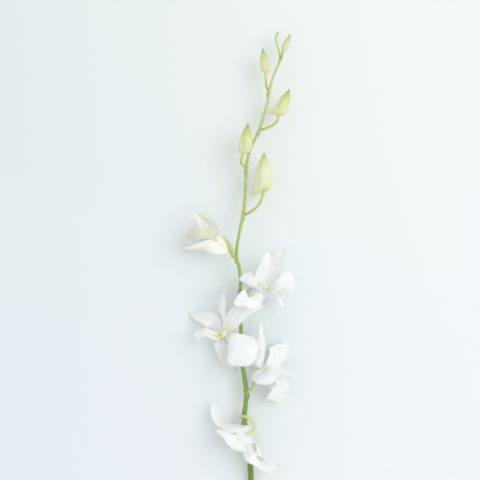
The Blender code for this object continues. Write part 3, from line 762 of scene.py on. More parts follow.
# %% Blade families
# rows and columns of the grid, height and number of waves along the margin, depth of the
# middle groove, ribs, thickness at the middle and at the margin, how pointed the tip is, and
# how far the margin bends back near the tip
FAMILIES = {
    "sepal": {"grid": (64, 32), "wave": 0.45, "waves": 1.6, "groove": 0.35, "ribs": 5,
              "thick": 0.55, "margin": 0.16, "tip": 0.62, "back": 0.5},
    "petal": {"grid": (72, 44), "wave": 0.9, "waves": 2.3, "groove": 0.3, "ribs": 7,
              "thick": 0.5, "margin": 0.12, "tip": 0.52, "back": 0.9},
    "lip": {"grid": (84, 56), "wave": 0.8, "waves": 2.4, "groove": 0.0, "ribs": 5,
            "thick": 0.55, "margin": 0.12, "tip": 0.5, "back": 1.2},
    "bract": {"grid": (26, 20), "wave": 0.1, "waves": 2.0, "groove": 0.0, "ribs": 7,
              "thick": 0.3, "margin": 0.08, "tip": 0.6, "back": 0.1},
}
RIB = 0.03                       # height of a rib
CREST = 0.75                     # height of the three ridges on a lip
CREST_WIDTH = 0.045              # as a share of half the lip's width
CREST_PLACES = (-0.16, 0.0, 0.16)
print("blade families:", list(FAMILIES))

# %% [markdown]
# No two blades of a real flower are quite the same. Some turn their face sooner after the
# root, some have deeper waves, and some have an outline of their own.

# %% Blades that differ from their family
# how many times sooner a blade turns from the way of its root to the way of its tip
TURNS_SOONER = {
    "a_dorsal_sepal": 4.0, "b_right_petal": 2.5, "b_dorsal_sepal": 2.0, "b_left_petal": 3.0,
    "d_left_petal": 2.5, "c_left_petal": 2.5, "c_right_sepal": 2.5,
}
# shares of the full width from root to tip, and where the tip starts to round off
OWN_OUTLINES = {
    "a_right_petal": ([0.25, 0.34, 0.6, 0.92, 1.0, 0.82], 0.6),
    "a_right_sepal": ([0.95, 1.05, 0.9, 0.55, 0.25, 0.18], 0.5),
    "a_lip": ([0.3, 0.9, 1.0, 0.86, 0.62, 0.45], 0.6),
    "b_left_petal": ([1.0, 1.3, 1.14, 0.96, 0.8, 0.5], 0.5),
    "b_left_sepal": ([1.25, 1.25, 1.05, 0.88, 0.72, 0.5], 0.5),
    "b_right_petal": ([0.24, 0.5, 0.9, 1.0, 0.8, 0.45], 0.45),
    "d_right_petal": ([0.3, 0.5, 0.92, 1.0, 0.86, 0.55], 0.5),
    "e_dorsal_sepal": ([1.1, 1.38, 1.2, 0.95, 0.72, 0.5], 0.45),
    "e_right_petal": ([1.35, 1.4, 1.0, 0.72, 0.5, 0.36], 0.5),
    "e_right_sepal": ([0.95, 1.0, 0.9, 0.82, 0.72, 0.5], 0.5),
}
# how many times deeper the waves are
WAVIER = {
    "c_right_petal": 1.3, "d_right_petal": 2.0, "e_left_sepal": 1.6, "e_right_petal": 1.4,
    "b_lip": 1.3,
}
print("blades of their own kind:", len({*TURNS_SOONER, *OWN_OUTLINES, *WAVIER}))

# %% [markdown]
# The rows of the grid follow the midline. Each row has a half width from the outline and a
# way across, which starts along the root and ends square to the way the tip faces. A twist
# that grew evenly from root to tip would be simpler, but would turn the broad part too,
# which hardly twists on a real petal. What would reach below the surface is bent along it,
# as a soft petal does.

# %% Rows of a blade
FLOOR = 0.34                     # lowest height of the middle of a blade
BED = 0.9                        # height over which a blade bends to lie on the surface
TURN_RATE = 1.6                  # a blade has turned to its tip's way after 1 / 1.6 of its length
LEAVE_RATE = 3.0                 # it has left the line of its root after a third of its length
WIDEN_RATE = 5.0                 # and has its own width after a fifth


def lay_down(points):
    """Bends what would reach below the surface along it, and leaves the rest alone."""
    z = points[..., 2] - FLOOR
    lifted = np.where(z < BED * 4, 0.5 * (z + np.sqrt(z * z + BED * BED)), z)
    share = np.clip((z - BED) / (3 * BED), 0, 1)
    laid = points.copy()
    laid[..., 2] = FLOOR + lifted * (1 - share) + z * share
    return laid


def row_places(rows, rounded_from):
    """Shares of a blade's length for its rows, crowded towards its rounded tip."""
    straight = int(rows * 0.6)
    ends = np.linspace(0, math.pi / 2 * 0.985, rows - straight + 1)[1:]
    return np.concatenate([np.linspace(0, rounded_from, straight + 1),
                           rounded_from + (1 - rounded_from) * np.sin(ends)])


def blade_sides(own, t, ways, root_side, tip_face):
    """The way across a blade at each of its rows."""
    root_way = root_side / np.linalg.norm(root_side)
    tip_side = np.cross(ways[-1], square_to(np.asarray(tip_face, float), ways[-1]))
    sooner = TURNS_SOONER.get(own, 1.0)
    turn = fade(t * TURN_RATE * sooner, 0.0, 1.0)[:, None]
    side = square_to(root_way * (1 - turn) + tip_side * turn, ways)
    start = np.clip(t * LEAVE_RATE * sooner, 0, 1)[:, None]
    return unit(root_way * (1 - start) + side * start)


def half_widths(shares, rounded_from, pointed, width, root_half, t):
    """Half the width of a blade at each of its rows."""
    past = np.clip((t - rounded_from) / (1 - rounded_from), 0, 1)
    half = width / 2 * spline(shares, t)[:, 0] * (1 - past ** 2) ** pointed
    return root_half + (half - root_half) * np.clip(t * WIDEN_RATE, 0, 1)


print("rows of a petal:", len(row_places(72, 0.58)))

# %% [markdown]
# A margin swings up and down in a slow wave with a quicker one on top, in another beat on
# each side. The waves grow from nothing at the root. Noise could make them too, but would
# dent the middle as well, and a petal is calm there. A lip has three ridges along its
# middle, which lead to the column.

# %% Waves and ridges
EDGE_POWER = 2.4                 # how closely the waves keep to the margin
QUICK_WAVE = 2.3                 # beats of the quick wave to one of the slow one
QUICK_HEIGHT = 0.4               # its height beside the slow one's


def margin_waves(chance, family, waves, t, u):
    """How far the margins swing out of the blade."""
    swings = np.zeros((len(t), len(u)))
    edge = np.abs(u) ** EDGE_POWER
    grown = fade(t, 0.15, 0.6)[:, None]
    for hand in (-1, 1):
        here = np.where(u * hand > 0, 1.0, 0.0)
        beat = family["waves"] * chance.uniform(0.85, 1.2)
        phase = chance.uniform(0, 2 * math.pi)
        swing = np.sin(2 * math.pi * beat * t + phase)
        swing += QUICK_HEIGHT * np.sin(2 * math.pi * beat * QUICK_WAVE * t + phase * 2)
        swings += here * edge * grown * family["wave"] * waves * swing[:, None]
    return swings


def lip_crest(t, u):
    """The height of the ridges along the middle of a lip."""
    run = fade(t, 0.04, 0.16) * (1 - fade(t, 0.42, 0.6))
    ridges = sum(bump_at(u, place, CREST_WIDTH) for place in CREST_PLACES)
    return CREST * run[:, None] * ridges


print("ridges on a lip:", len(CREST_PLACES))

# %% [markdown]
# The blade itself puts these together. Its two sides lie half its thickness on either side
# of the middle sheet, so it is a closed body with a real margin. A Solidify modifier could
# thicken a single sheet too, but would need a vertex group to make it thin at the margin.

# %% Blade shape
LEAST_CURL = 0.01                # a flat blade is a blade with next to no curl
UNEVEN = 0.035                   # how much one side is broader than the other
GROOVE_WIDTH = 0.10


def blade(name, knots, root_side, tip_face, width, curl, part, finish, waves=1.0):
    """A thin curved sheet round a midline, from its root side to the way its tip faces."""
    kind = part.split("_")[-1]
    family = FAMILIES[kind]
    chance = random.Random(name)
    own = name.removeprefix("flower_").removesuffix("_skin")
    waves *= WAVIER.get(own, 1.0)
    shares, rounded_from = OWN_OUTLINES.get(own, OUTLINES[part])
    rows, columns = family["grid"]
    t = row_places(rows, rounded_from)
    u = np.linspace(-1, 1, columns + 1)
    spine, ways, _ = even_curve(knots, t)
    side = blade_sides(own, t, ways, root_side, tip_face)
    inner = unit(np.cross(side, ways))
    half = half_widths(shares, rounded_from, family["tip"], width,
                       np.linalg.norm(root_side), t)

    bend = curl * spline(CURLS[kind], t)[:, 0]
    bend = np.where(np.abs(bend) < LEAST_CURL, LEAST_CURL, bend)[:, None]
    uneven = 1 + UNEVEN * np.sin(t[:, None] * 7 + chance.uniform(0, 6) + 2.0 * np.sign(u))
    across = half[:, None] * uneven * np.sin(bend * u) / bend
    lift = half[:, None] * (1 - np.cos(bend * u)) / bend
    lift += margin_waves(chance, family, waves, t, u)

    size = np.minimum(half / 4, 1.0)[:, None]
    bent_back = family["back"] * size * np.abs(u) ** EDGE_POWER
    lift -= bent_back * fade(t, 0.55, 1.0)[:, None] * waves
    lift -= family["groove"] * size * bump_at(u, 0, GROOVE_WIDTH)
    lift += RIB * np.cos(math.pi * family["ribs"] * u) * (1 - u * u) * size
    middle = spine[:, None] + side[:, None] * across[:, :, None] + inner[:, None] * lift[:, :, None]
    middle = lay_down(middle)

    normal = unit(np.cross(np.gradient(middle, axis=1), np.gradient(middle, axis=0)))
    normal = normal * np.sign(np.sum(normal * inner[:, None], axis=2).mean())
    thick = family["margin"] + (family["thick"] - family["margin"]) * (
        (1 - np.abs(u) ** 1.5) * (1 - 0.55 * t[:, None]))
    crest = lip_crest(t, u) if kind == "lip" else 0.0
    return sheet_mesh(name, middle + normal * (thick / 2 + crest)[:, :, None],
                      middle - normal * (thick / 2)[:, :, None], t, finish)


print("thickest petal:", FAMILIES["petal"]["thick"], "mm")

# %% [markdown]
# ## Flowers
#
# The solids of the frame leave a hair's breadth between neighbours. In the real flower the
# blades grow from one place, so each root is drawn a little further in here, and a smooth
# chin closes the back of the flower where the two lower sepals join round the column's foot.

# %% Flower layout
AZIMUTHS = {                     # degrees round the flower from its top sepal
    "dorsal_sepal": 0.0, "left_petal": 60.0, "right_petal": -60.0,
    "left_sepal": 135.0, "right_sepal": -135.0, "lip": 180.0,
}
RING_RADIUS = 2.92               # of the ring that the roots stand on
INNER_WHORL = 1.1                # how far the petals stand in front of the top sepal
LIP_DROP = 2.3                   # how far the lip stands below the centre
LIP_STEP = 1.5                   # and in front of it
ROOT_TILT = 0.4                  # how far a root tilts outwards
SPUR_SHARE = 0.45                # the share of the spur that a lower sepal's root runs along
SPUR_HALF_WIDTH = 2.5
ROOT_PULL = 0.9                  # how far a root is drawn in beyond the frame's solid


def flower_axes(plan):
    """A flower's centre, the way it faces, the way its top stands, and its spur."""
    centre = np.array(plan["centre"])
    faces = unit(np.array(plan["faces"]))
    top = square_to(np.array(plan["top"]), faces)
    return centre, faces, top, np.array(plan["spur"])


def blade_root(part, plan):
    """Middle of a blade's root, and the way from there to one end of the root."""
    centre, faces, top, spur = flower_axes(plan)
    right = np.cross(top, faces)
    angle = math.radians(AZIMUTHS[part])
    if part in ("left_sepal", "right_sepal"):
        hand = 1 if part == "right_sepal" else -1
        root = centre + spur * (1 - SPUR_SHARE) + right * (SPUR_HALF_WIDTH - ROOT_PULL) * hand
        return root, spur * SPUR_SHARE * hand
    radial = top * math.cos(angle) - right * math.sin(angle)
    root = centre + radial * (RING_RADIUS - ROOT_PULL)
    if part == "lip":
        root = centre - top * (LIP_DROP - ROOT_PULL / 2) + faces * LIP_STEP
    elif part != "dorsal_sepal":
        root = root + faces * INNER_WHORL
    path, _, width, _ = plan[part]
    first = unit(centre + np.array(path[0]) - root)
    side = np.cross(first, square_to(faces - radial * ROOT_TILT, first))
    return root, side * width / 2 * OUTLINES[part][0][0]


print("roots round a flower:", len(AZIMUTHS))

# %% [markdown]
# The youngest flower has hardly opened. Its blades have shallower waves, its sepals are
# greener, and one of its petals has painted shade: a darker grey-green colour for the shade
# it lies in, over a young petal's green tint. One lip has a deeper yellow throat than the others.

# %% Blades of the flowers
YOUNGEST = "a"
YELLOW_THROATED = "c"
CALM = 0.5                       # depth of the youngest flower's waves beside the usual


def make_blades(letter, plan):
    centre = np.array(plan["centre"])
    young = letter == YOUNGEST
    for part in AZIMUTHS:
        path, tip_face, width, curl = plan[part]
        root, root_side = blade_root(part, plan)
        knots = [root] + [centre + np.array(p) for p in path]
        if part == "lip":
            finish, slot = (YELLOW_LIP if letter == YELLOW_THROATED else LIP), "white_lip"
        elif part.endswith("petal"):
            # the youngest flower's right petal takes the finish with painted shade
            shaded = young and part == "right_petal"
            finish, slot = (PAINTED_SHADE_PETAL if shaded else PETAL), "white_petal"
        else:
            finish, slot = (YOUNG_SEPAL if young else SEPAL), "white_petal"
        node = f"flower_{letter}_{part}"
        piece = blade(node + "_skin", knots, root_side, tip_face, width, curl, part, finish,
                      CALM if young else 1.0)
        stand_for(piece, node)


for letter, plan in FLOWERS.items():
    make_blades(letter, plan)

# %% [markdown]
# The column is the orchid's own organ: stamen and pistil grown into one short post. Its
# back is round, its front is hollowed towards the tip, and a small cap holds the pollen at
# its end. Behind the flower its foot runs down into the chin.

# %% Column, cap and chin finishes
COLUMN = petal_finish("column_flesh", paint(243, 246, 230), paint(230, 235, 196),
                      paint(234, 238, 192), paint(243, 245, 230), 0.4, 0.1, 8.0, 0.2, 0.2)
CAP = petal_finish("anther_cap", paint(244, 244, 232), paint(226, 228, 196),
                   paint(232, 234, 200), paint(240, 240, 220), 0.2, 0.1, 6.0, 0.2, 0.25)
CHIN = petal_finish("chin_skin", paint(247, 249, 246), paint(230, 236, 220),
                    paint(246, 248, 240), paint(226, 232, 204), 0.3, 0.2, 9.0)
YOUNG_CHIN = petal_finish("young_chin_skin", paint(247, 249, 234), paint(226, 234, 196),
                          paint(246, 248, 228), paint(214, 224, 158), 0.3, 0.4, 9.0)
print("finishes so far:", len(bpy.data.materials))

# %% [markdown]
# Column and cap are tubes too. What makes them an orchid's is that the radius changes round
# each ring: flat in front, hollowed near the end, with a small wing on either side.

# %% Column and cap
COLUMN_LENGTH = 7.5
COLUMN_RISE = 1.4                # how far the column's end bends towards the top
COLUMN_RADII = [1.1, 1.4, 1.5, 1.55, 1.6, 1.6, 1.6, 1.55, 1.1]
COLUMN_RINGS, COLUMN_SIDES = 56, 32
CAP_LENGTH = 2.7
CAP_RADIUS = 1.6
CAP_SEAT = 0.55                  # the share of the cap that sits back over the column's end
CAP_NOD = 0.25                   # how far the cap bends down
CAP_RINGS = 24


def make_column(letter, plan):
    """The column from its foot in the spur to its end. Returns its end and its way there."""
    centre, faces, top, spur = flower_axes(plan)
    line = [spur * 0.9, spur * 0.5, np.zeros(3), faces * 3.0 + top * 0.6,
            faces * COLUMN_LENGTH + top * COLUMN_RISE]
    t = np.linspace(0, 1, COLUMN_RINGS)
    middles, ways, _ = even_curve([centre + p for p in line], t)
    radii = spline(COLUMN_RADII, t)[:, 0]

    def shape(turns):
        front = np.clip(-np.cos(turns), 0, 1)[None, :]
        wings = bump_at(np.abs(np.sin(turns)), 1.0, 0.25)[None, :]
        post = fade(t, 0.45, 0.7)[:, None]
        hollow = bump_at(t, 0.86, 0.07)[:, None]
        return 1 - 0.25 * post * front - 0.35 * hollow * front ** 4 + 0.16 * post * wings

    rings = tube_rings(middles, ways, radii, COLUMN_SIDES, top, shape)
    node = f"flower_{letter}_column"
    stand_for(tube_mesh(node + "_post", rings, COLUMN), node)
    return middles[-1], ways[-1]


def make_cap(letter, plan, end, way):
    """The cap that holds the pollen, with a crease on top and a beak in front."""
    top = flower_axes(plan)[2]
    t = np.linspace(0, 1, CAP_RINGS)
    middles = end + way * (CAP_LENGTH * (t[:, None] - CAP_SEAT)) - top * CAP_NOD * t[:, None] ** 2
    radii = CAP_RADIUS * np.sqrt(np.clip(1 - (2 * t - 0.9) ** 2 / 1.3, 0.02, 1))

    def shape(turns):
        beak = np.clip(-np.cos(turns), 0, 1)[None, :] ** 6 * fade(t, 0.6, 1.0)[:, None]
        crease = bump_at(np.cos(turns), 1.0, 0.06)[None, :]
        return 1 + 0.25 * beak - 0.12 * crease

    rings = tube_rings(middles, np.tile(way, (len(t), 1)), radii, COLUMN_SIDES, top, shape)
    stand_for(tube_mesh(f"flower_{letter}_anther_cap", rings, CAP), None)


print("column:", COLUMN_LENGTH, "mm, cap:", CAP_LENGTH, "mm")

# %% [markdown]
# The chin is the skin of the flower's back, from its base down to the tip of the spur, with
# a seam where the two lower sepals meet. Two flowers show more of their back than the
# others do, and have a fuller chin that starts further forward.

# %% Chin
CHIN_RADII = [2.7, 3.1, 3.1, 2.8, 2.3, 1.6, 0.45]
CHIN_RINGS, CHIN_SIDES = 40, 40
# how far a chin starts along the way the flower faces and along its top, and its fullness
CHINS = {"a": (4.5, 3.2, 1.22), "e": (2.2, 6.8, 1.72)}
USUAL_CHIN = (1.2, 0.6, 1.0)
BACK_TILT = 0.4                  # how far a flower's back leans to its top


def flower_back(plan):
    """The way a flower's back looks, square to its spur."""
    _, faces, top, spur = flower_axes(plan)
    return square_to(top * BACK_TILT - faces, unit(spur))


def make_chin(letter, plan):
    centre, faces, top, spur = flower_axes(plan)
    back = flower_back(plan)
    t = np.linspace(0, 1, CHIN_RINGS)
    forward, upward, full = CHINS.get(letter, USUAL_CHIN)
    front = faces * forward + top * upward
    line = [centre + front, centre + spur * 0.35 + back * 0.3,
            centre + spur * 0.7 + back * 0.2, centre + spur * 1.08]
    middles, ways, _ = even_curve(line, t)
    radii = spline(CHIN_RADII, t)[:, 0] * full
    right = np.cross(top, faces)

    def shape(turns):
        seam = bump_at(np.cos(turns), -1.0, 0.03)[None, :] * fade(t, 0.2, 0.5)[:, None]
        return 1 - 0.16 * seam - 0.12 * np.abs(np.cos(turns))[None, :]

    rings = tube_rings(middles, ways, radii, CHIN_SIDES, np.cross(right, unit(spur)), shape)
    finish = YOUNG_CHIN if letter == YOUNGEST else CHIN
    stand_for(tube_mesh(f"flower_{letter}_chin", rings, finish), None)


for letter, plan in FLOWERS.items():
    column_end, column_way = make_column(letter, plan)
    make_cap(letter, plan, column_end, column_way)
    make_chin(letter, plan)

# %% [markdown]
# ## Stem, stalks and scales
#
# The stem is a waxy green tube. It is thickest at the cut, swells a little where each
# stalk leaves it, and turns from leaf green at its base to yellow green at its tip. Faint
# fibres run along it, and below each stalk a paler ring shows where a scale was attached.


# %% Green finishes
STREAK_STRENGTH = 0.3
BLOTCH_STRENGTH = 0.35
SCAR_STRENGTH = 0.75
GREEN_RELIEF = 0.00005           # depth of fibres and cells, in metres


def green_finish(name, ramp, streak, scar, ridges=14.0, subsurface=0.08, rough=0.42):
    """A waxy skin whose colour follows the length of the piece."""
    mat, tree, sockets = new_finish(
        name, Subsurface_Weight=subsurface, Subsurface_Scale=0.001,
        Subsurface_Radius=(0.7, 1.0, 0.3), Specular_IOR_Level=0.45)
    along = span_of(tree)[1]
    colours = tree.nodes.new("ShaderNodeValToRGB")
    points = colours.color_ramp.elements
    for place, colour in ramp[1:-1]:
        points.new(place)
    for element, (place, colour) in zip(points, ramp):
        element.position = place
        element.color = colour
    tree.links.new(along, colours.inputs["Fac"])
    lines = use_group(tree, VEIN_LINES, Count=ridges, Wander=0.06, Thin=0.4)
    patches = use_group(tree, SOFT_PATCHES, Scale=160.0, Edge=0.16)["Patches"]
    colour = blend_colours(tree, calc(tree, "MULTIPLY", lines["Lines"], STREAK_STRENGTH),
                           colours.outputs["Color"], streak, "MULTIPLY")
    colour = blend_colours(tree, calc(tree, "MULTIPLY", patches, BLOTCH_STRENGTH),
                           colour, streak, "MULTIPLY")
    marks = add_node(tree, "Attribute", {"attribute_name": "marks"}).outputs["Fac"]
    colour = blend_colours(tree, calc(tree, "MULTIPLY", marks, SCAR_STRENGTH), colour, scar)
    tree.links.new(colour, sockets["Base Color"])
    tree.links.new(remap(tree, patches, 0.0, 1.0, rough - 0.06, rough + 0.08),
                   sockets["Roughness"])
    cells = use_group(tree, SKIN_CELLS, Scale=2600.0)["Height"]
    height = calc(tree, "ADD", lines["Height"], calc(tree, "MULTIPLY", cells, 0.5))
    relief(tree, sockets, height, GREEN_RELIEF)
    return mat


STREAK = paint(214, 222, 180)
STEM_GREEN = green_finish("stem_green", [
    (0.0, paint(104, 136, 38)), (0.18, paint(114, 147, 46)), (0.32, paint(134, 167, 70)),
    (0.5, paint(156, 184, 90)), (0.66, paint(188, 204, 114)), (0.8, paint(202, 213, 142)),
    (1.0, paint(210, 220, 154))], STREAK, paint(206, 200, 156))
STALK = green_finish("pale_stalk", [
    (0.0, paint(192, 202, 122)), (0.5, paint(211, 218, 150)), (1.0, paint(229, 233, 190))],
    STREAK, paint(200, 190, 130), 8.0, 0.15)
WHITE_STALK = green_finish("white_stalk", [
    (0.0, paint(204, 211, 146)), (0.4, paint(222, 227, 178)), (1.0, paint(238, 240, 208))],
    paint(226, 230, 196), paint(206, 200, 150), 8.0, 0.2)
BUD_STALK = green_finish("bud_stalk", [
    (0.0, paint(186, 198, 100)), (0.6, paint(212, 218, 132)), (1.0, paint(228, 230, 160))],
    STREAK, paint(170, 160, 100), 8.0, 0.15)
SCALE_SKIN = green_finish("dry_scale", [
    (0.0, paint(160, 184, 92)), (0.6, paint(178, 196, 118)), (1.0, paint(216, 208, 168))],
    paint(232, 228, 206), paint(190, 200, 136), 12.0, 0.1, 0.65)
LOW_SCALE_SKIN = green_finish("low_scale", [
    (0.0, paint(120, 150, 58)), (0.7, paint(134, 162, 74)), (1.0, paint(206, 196, 150))],
    paint(226, 222, 196), paint(146, 166, 92), 12.0, 0.1, 0.65)
CUT_FLESH = green_finish("cut_flesh", [
    (0.0, paint(206, 216, 158)), (0.55, paint(196, 208, 140)), (1.0, paint(128, 156, 66))],
    STREAK, paint(150, 140, 84), 24.0, 0.2, 0.6)
print("finishes so far:", len(bpy.data.materials))

# %% [markdown]
# The stem's rings stand a millimetre apart, close enough for its swellings to be a real
# shape. The cut could be made with a cutting plane. Shearing the first few rings gives the
# same slant, and keeps the skin in tidy rings that the fibres can follow.

# %% Stem
STEM_SIDES = 36
STEM_STEP = 1.0                  # millimetres between rings
CUT_SLOPE = 0.9
CUT_ROWS = 8                     # rings over which the slant of the cut fades out
SWELL = 0.16                     # how much thicker the stem is where a stalk leaves it
SWELL_LENGTH = 2.0
SCAR_DROP = 3.4                  # how far below a stalk the ring of its scale is
RIDGES = 7                       # shallow ridges along the stem
RIDGE_HEIGHT = 0.022             # as a share of the radius
TIP_LENGTH = 1.6                 # length over which the stem's tip rounds off


def stem_stations():
    """The places along the middle of the stem, and its radius at each."""
    return np.array([s[:3] for s in STEM]), np.array([s[3] for s in STEM])


def stem_frame(station):
    """Middle, way and radius of the stem at a station of its list."""
    stations, radii = stem_stations()
    after = min(station + 1, len(STEM) - 1)
    way = unit(stations[after] - stations[max(station - 1, 0)])
    return stations[station], way, radii[station]


def make_stem():
    """The stem. Returns the ring of points round its cut."""
    stations, radii = stem_stations()
    # the stations are uneven, so the radius is read at the same shares as the places
    t = np.linspace(0, 1, 900)
    fine = spline(stations, t)
    far = np.concatenate([[0], np.cumsum(np.linalg.norm(np.diff(fine, axis=0), axis=1))])
    count = int(far[-1] / STEM_STEP)
    at = np.interp(np.linspace(0, far[-1], count), far, t)
    middles = spline(stations, at)
    ways = unit(np.gradient(middles, axis=0))
    radius = np.interp(at, np.linspace(0, 1, len(STEM)), radii)
    length = np.linspace(0, far[-1], count)
    nodes = [plan["node"][0] for plan in [*FLOWERS.values(), *BUDS.values()]]
    scars = np.zeros(count)
    for node in nodes:
        place = np.interp(node / (len(STEM) - 1), t, far)
        radius = radius * (1 + SWELL * bump_at(length, place - 0.5, SWELL_LENGTH))
        scars += bump_at(length, place - SCAR_DROP, 0.5)
        scars += 0.5 * bump_at(length, place - 1.0, 1.2)
    radius = radius * np.sqrt(np.clip((far[-1] - length) / TIP_LENGTH, 0.03, 1))

    def shape(turns):
        return 1 + RIDGE_HEIGHT * np.cos(RIDGES * turns)[None, :] * np.ones((count, 1))

    rings = tube_rings(middles, ways, radius, STEM_SIDES, (0.0, 0.0, 1.0), shape)
    # the cut is a slant, longest on the stem's left
    start = middles[0]
    for i in range(CUT_ROWS):
        share = 1 - i / CUT_ROWS
        rings[i, :, 1] += (rings[i, :, 0] - start[0]) * CUT_SLOPE * share
    marks = np.repeat(np.clip(scars, 0, 1), STEM_SIDES)
    stand_for(tube_mesh("stem_skin", rings, STEM_GREEN, marks), "stem")
    return rings[0]


cut_ring = make_stem()

# %% [markdown]
# A fresh cut shows the inside of the stem: pale wet flesh with fibre bundles in two rings
# under the skin. The face is a very low dome of rings, with the bundles standing up as
# small dots in its shape.

# %% Cut face
CUT_RINGS = 22
CUT_EDGE = 0.97                  # how far out the face reaches, as a share of the stem
CUT_SWELL = 0.10                 # how far the middle of the face stands out
BUNDLE_HEIGHT = 0.04


def make_cut_face(cut_ring):
    middle = cut_ring.mean(axis=0)
    outward = unit(np.cross(cut_ring[STEM_SIDES // 4] - middle, cut_ring[0] - middle))
    if outward[1] > 0:
        outward = -outward
    turns = np.linspace(0, 2 * math.pi, STEM_SIDES, endpoint=False)
    rows = []
    for share in np.linspace(0.02, CUT_EDGE, CUT_RINGS):
        ring = middle + (cut_ring - middle) * share
        bundles = bump_at(share, 0.72, 0.07) * np.cos(turns * 9)
        bundles += bump_at(share, 0.4, 0.07) * np.cos(turns * 6 + 1)
        height = CUT_SWELL - CUT_SWELL * share ** 2 + BUNDLE_HEIGHT * bundles
        rows.append(ring + outward * height[:, None])
    rows.append(middle + (cut_ring - middle) * CUT_EDGE - outward * 0.4)
    stand_for(tube_mesh("stem_cut_face", np.array(rows), CUT_FLESH), None)


make_cut_face(cut_ring)
print("cut face rings:", CUT_RINGS)

# %% [markdown]
# Each flower stands on a stalk that is also its ovary: thin from its stout foot on the stem,
# and thicker and faintly ribbed where it meets the flower. The bud stalks are plain.

# %% Stalks
STALK_RADIUS = 1.15
OVARY_RADIUS = 1.55
OVARY_RIBS = 0.07                # height of its six ribs, as a share of the radius
BUD_STALK_RADIUS = 0.85
STALK_SEAT = 2.4                 # how far behind the flower's centre its stalk ends
STALK_RISE = 1.4                 # how far a stalk runs straight at each of its ends
STALK_LEAN = 0.6                 # how much it leans along the stem as it leaves it
STALK_FOOT = 0.35                # how much stouter it is right at the stem
STALK_RINGS, STALK_SIDES = 90, 24
WHITE_STALKED = "bde"            # flowers with a paler stalk


def make_stalk(node, plan, end, toward, radii, finish, ribs):
    """A stalk from the stem, past the points given, to its end."""
    station, side = plan["node"]
    middle, way, radius = stem_frame(station)
    out = square_to(np.array(side), way)
    start = middle + out * (radius * 0.6)
    leave = (out + way * plan.get("lean", STALK_LEAN)) * STALK_RISE
    knots = [start, middle + out * (radius + GAP) + leave]
    knots += [np.array(p) for p in plan["via"]] + [end + toward * STALK_RISE, end - toward * 0.5]
    t = np.linspace(0, 1, STALK_RINGS)
    middles, ways, length = even_curve(knots, t)
    swollen = radii(t) * (1 + STALK_FOOT * np.exp(-t * length / 1.2))

    def shape(turns):
        grown = fade(t, 0.35, 0.8)[:, None] * ribs
        return 1 + grown * np.cos(6 * turns[None, :] + 2.5 * t[:, None])

    rings = tube_rings(middles, ways, swollen, STALK_SIDES, (0.0, 0.0, 1.0), shape)
    marks = np.repeat(0.5 * np.exp(-t * length / 0.8), STALK_SIDES)
    stand_for(tube_mesh(node + "_skin", rings, finish, marks), node)


for letter, plan in FLOWERS.items():
    back = flower_back(plan)
    make_stalk(f"flower_{letter}_pedicel", plan, np.array(plan["centre"]) + back * STALK_SEAT,
               back, lambda t: STALK_RADIUS + (OVARY_RADIUS - STALK_RADIUS) * t ** 2,
               WHITE_STALK if letter in WHITE_STALKED else STALK, OVARY_RIBS)

# %% [markdown]
# ## Buds
#
# A closed bud is three sepals shut like the shell of a nut, so three seams run from its
# base to its tip, and the lower two swell into a blunt spur on one side. The form is a
# stack of rings, pulled down on the side of the spur, with a groove along each seam. A
# stretched ball would be quicker, but has no spur and no seams.

# %% Bud finish
BUD_SKIN = green_finish("bud_skin", [
    (0.0, paint(222, 224, 178)), (0.12, paint(234, 236, 198)), (0.45, paint(237, 242, 208)),
    (0.8, paint(214, 224, 162)), (1.0, paint(172, 190, 96))],
    paint(244, 246, 230), paint(204, 214, 150), 22.0, 0.2, 0.5)
YOUNG_BUD_SKIN = green_finish("young_bud_skin", [
    (0.0, paint(233, 229, 184)), (0.12, paint(233, 234, 186)), (0.4, paint(227, 233, 180)),
    (0.75, paint(198, 212, 134)), (1.0, paint(150, 174, 72))],
    paint(238, 242, 220), paint(190, 204, 134), 22.0, 0.2, 0.5)
print("finishes so far:", len(bpy.data.materials))

# %% [markdown]
# The outline gives places along a bud and its width there. The oldest bud is the palest.
# Each bud is made with its stalk, because the stalk's size follows the bud's width.

# %% Buds
# share of the length, share of the half width
BUD_OUTLINE = [(0.0, 0.46), (0.05, 0.80), (0.15, 0.98), (0.3, 1.0), (0.45, 0.93),
               (0.6, 0.78), (0.75, 0.56), (0.88, 0.30), (1.0, 0.06)]
BUD_RINGS, BUD_SIDES = 90, 72
BUD_FLATNESS = 0.9               # depth of a bud beside its width
SEAMS = (math.radians(180), math.radians(62), math.radians(-62))
SEAM_DEPTH, SEAM_WIDTH = 0.045, 0.09
OLDEST_BUD = 5


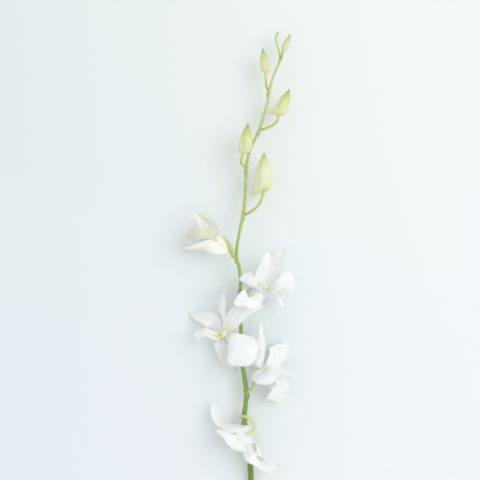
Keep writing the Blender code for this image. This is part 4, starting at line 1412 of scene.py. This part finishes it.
def make_bud(number, plan):
    base = np.array(plan["base"])
    tip = np.array(plan["tip"])
    length = np.linalg.norm(tip - base)
    axis = (tip - base) / length
    half = plan["width"] / 2
    spur = square_to(np.array(plan["spur"]), axis)
    side = np.cross(axis, spur)
    outline = np.array(BUD_OUTLINE)
    t = 1 - (1 - np.linspace(0, 1, BUD_RINGS)) ** 1.15
    share = np.interp(t, outline[:, 0], outline[:, 1])
    # the mean of five rings takes the corners out of the outline
    share[2:-2] = np.convolve(share, np.ones(5) / 5, "valid")
    turns = np.linspace(0, 2 * math.pi, BUD_SIDES, endpoint=False)
    toward = np.clip(np.cos(turns), 0, 1) ** 1.5
    foot_reach, foot_drop, foot_taper = plan["foot"]
    drop = foot_drop * plan["width"] * np.clip(1 - t / 0.3, 0, 1) ** 1.5
    reach = foot_reach * half * np.clip(1 - t / 0.25, 0, 1) ** foot_taper
    seam = sum(bump_at(np.arctan2(np.sin(turns - s), np.cos(turns - s)), 0, SEAM_WIDTH)
               for s in SEAMS)
    groove = 1 - SEAM_DEPTH * seam[None, :] * fade(t, 0.02, 0.25)[:, None]
    rings = (base + axis * (length * t[:, None] - drop[:, None] * toward)[:, :, None]
             + spur * ((half * share[:, None] * np.cos(turns)) * groove
                       + reach[:, None] * toward)[:, :, None]
             + side * (half * share[:, None] * BUD_FLATNESS * np.sin(turns) * groove)[:, :, None])
    marks = (seam[None, :] * fade(t, 0.02, 0.2)[:, None]).ravel()
    node = f"bud_{number}"
    finish = BUD_SKIN if number == OLDEST_BUD else YOUNG_BUD_SKIN
    stand_for(tube_mesh(node + "_skin", rings, finish, marks), node)
    size = BUD_STALK_RADIUS * (0.75 + 0.025 * plan["width"])
    end = base + axis * 0.6 + spur * plan["seat"]
    make_stalk(node + "_pedicel", plan, end, -axis,
               lambda t: size * (1 + 0.5 * t ** 2), BUD_STALK, 0.0)


for number, plan in BUDS.items():
    make_bud(number, plan)

# %% [markdown]
# A dry scale clasps the stem below each stalk, apart from the smallest bud's. It is papery
# and short, and hugs the stem so closely that only its edge shows. It is a blade like the
# others, with its sides curled round the stem.

# %% Scales
BRACT_LENGTH = 4.0
BRACT_THICKNESS = 0.35
BRACT_CURL = 1.25                # how far each side reaches round the stem, in radians
LOW_FLOWERS = "cde"              # their scales are greener


def make_scale(node, place, finish):
    middle, way, radius = stem_frame(place[0])
    out = square_to(np.array(place[1]), way)
    size = BRACT_LENGTH * (0.55 + 0.25 * radius)
    inner = radius + GAP + BRACT_THICKNESS / 2 + 0.15
    low = middle - way * (size + STALK_RADIUS + 2 * GAP)
    knots = [low + out * (inner - 0.7), low + way * size * 0.5 + out * (inner - 0.4),
             low + way * size + out * (inner - 0.1)]
    piece = blade(node + "_skin", knots, np.cross(out, way) * inner * 1.2, -out, inner * 2.5,
                  BRACT_CURL, "bract", finish)
    stand_for(piece, node)


for letter, plan in FLOWERS.items():
    finish = LOW_SCALE_SKIN if letter in LOW_FLOWERS else SCALE_SKIN
    make_scale(f"flower_{letter}_bract", plan["node"], finish)
for number in range(2, 6):
    make_scale(f"bud_{number}_bract", BUDS[number]["node"], SCALE_SKIN)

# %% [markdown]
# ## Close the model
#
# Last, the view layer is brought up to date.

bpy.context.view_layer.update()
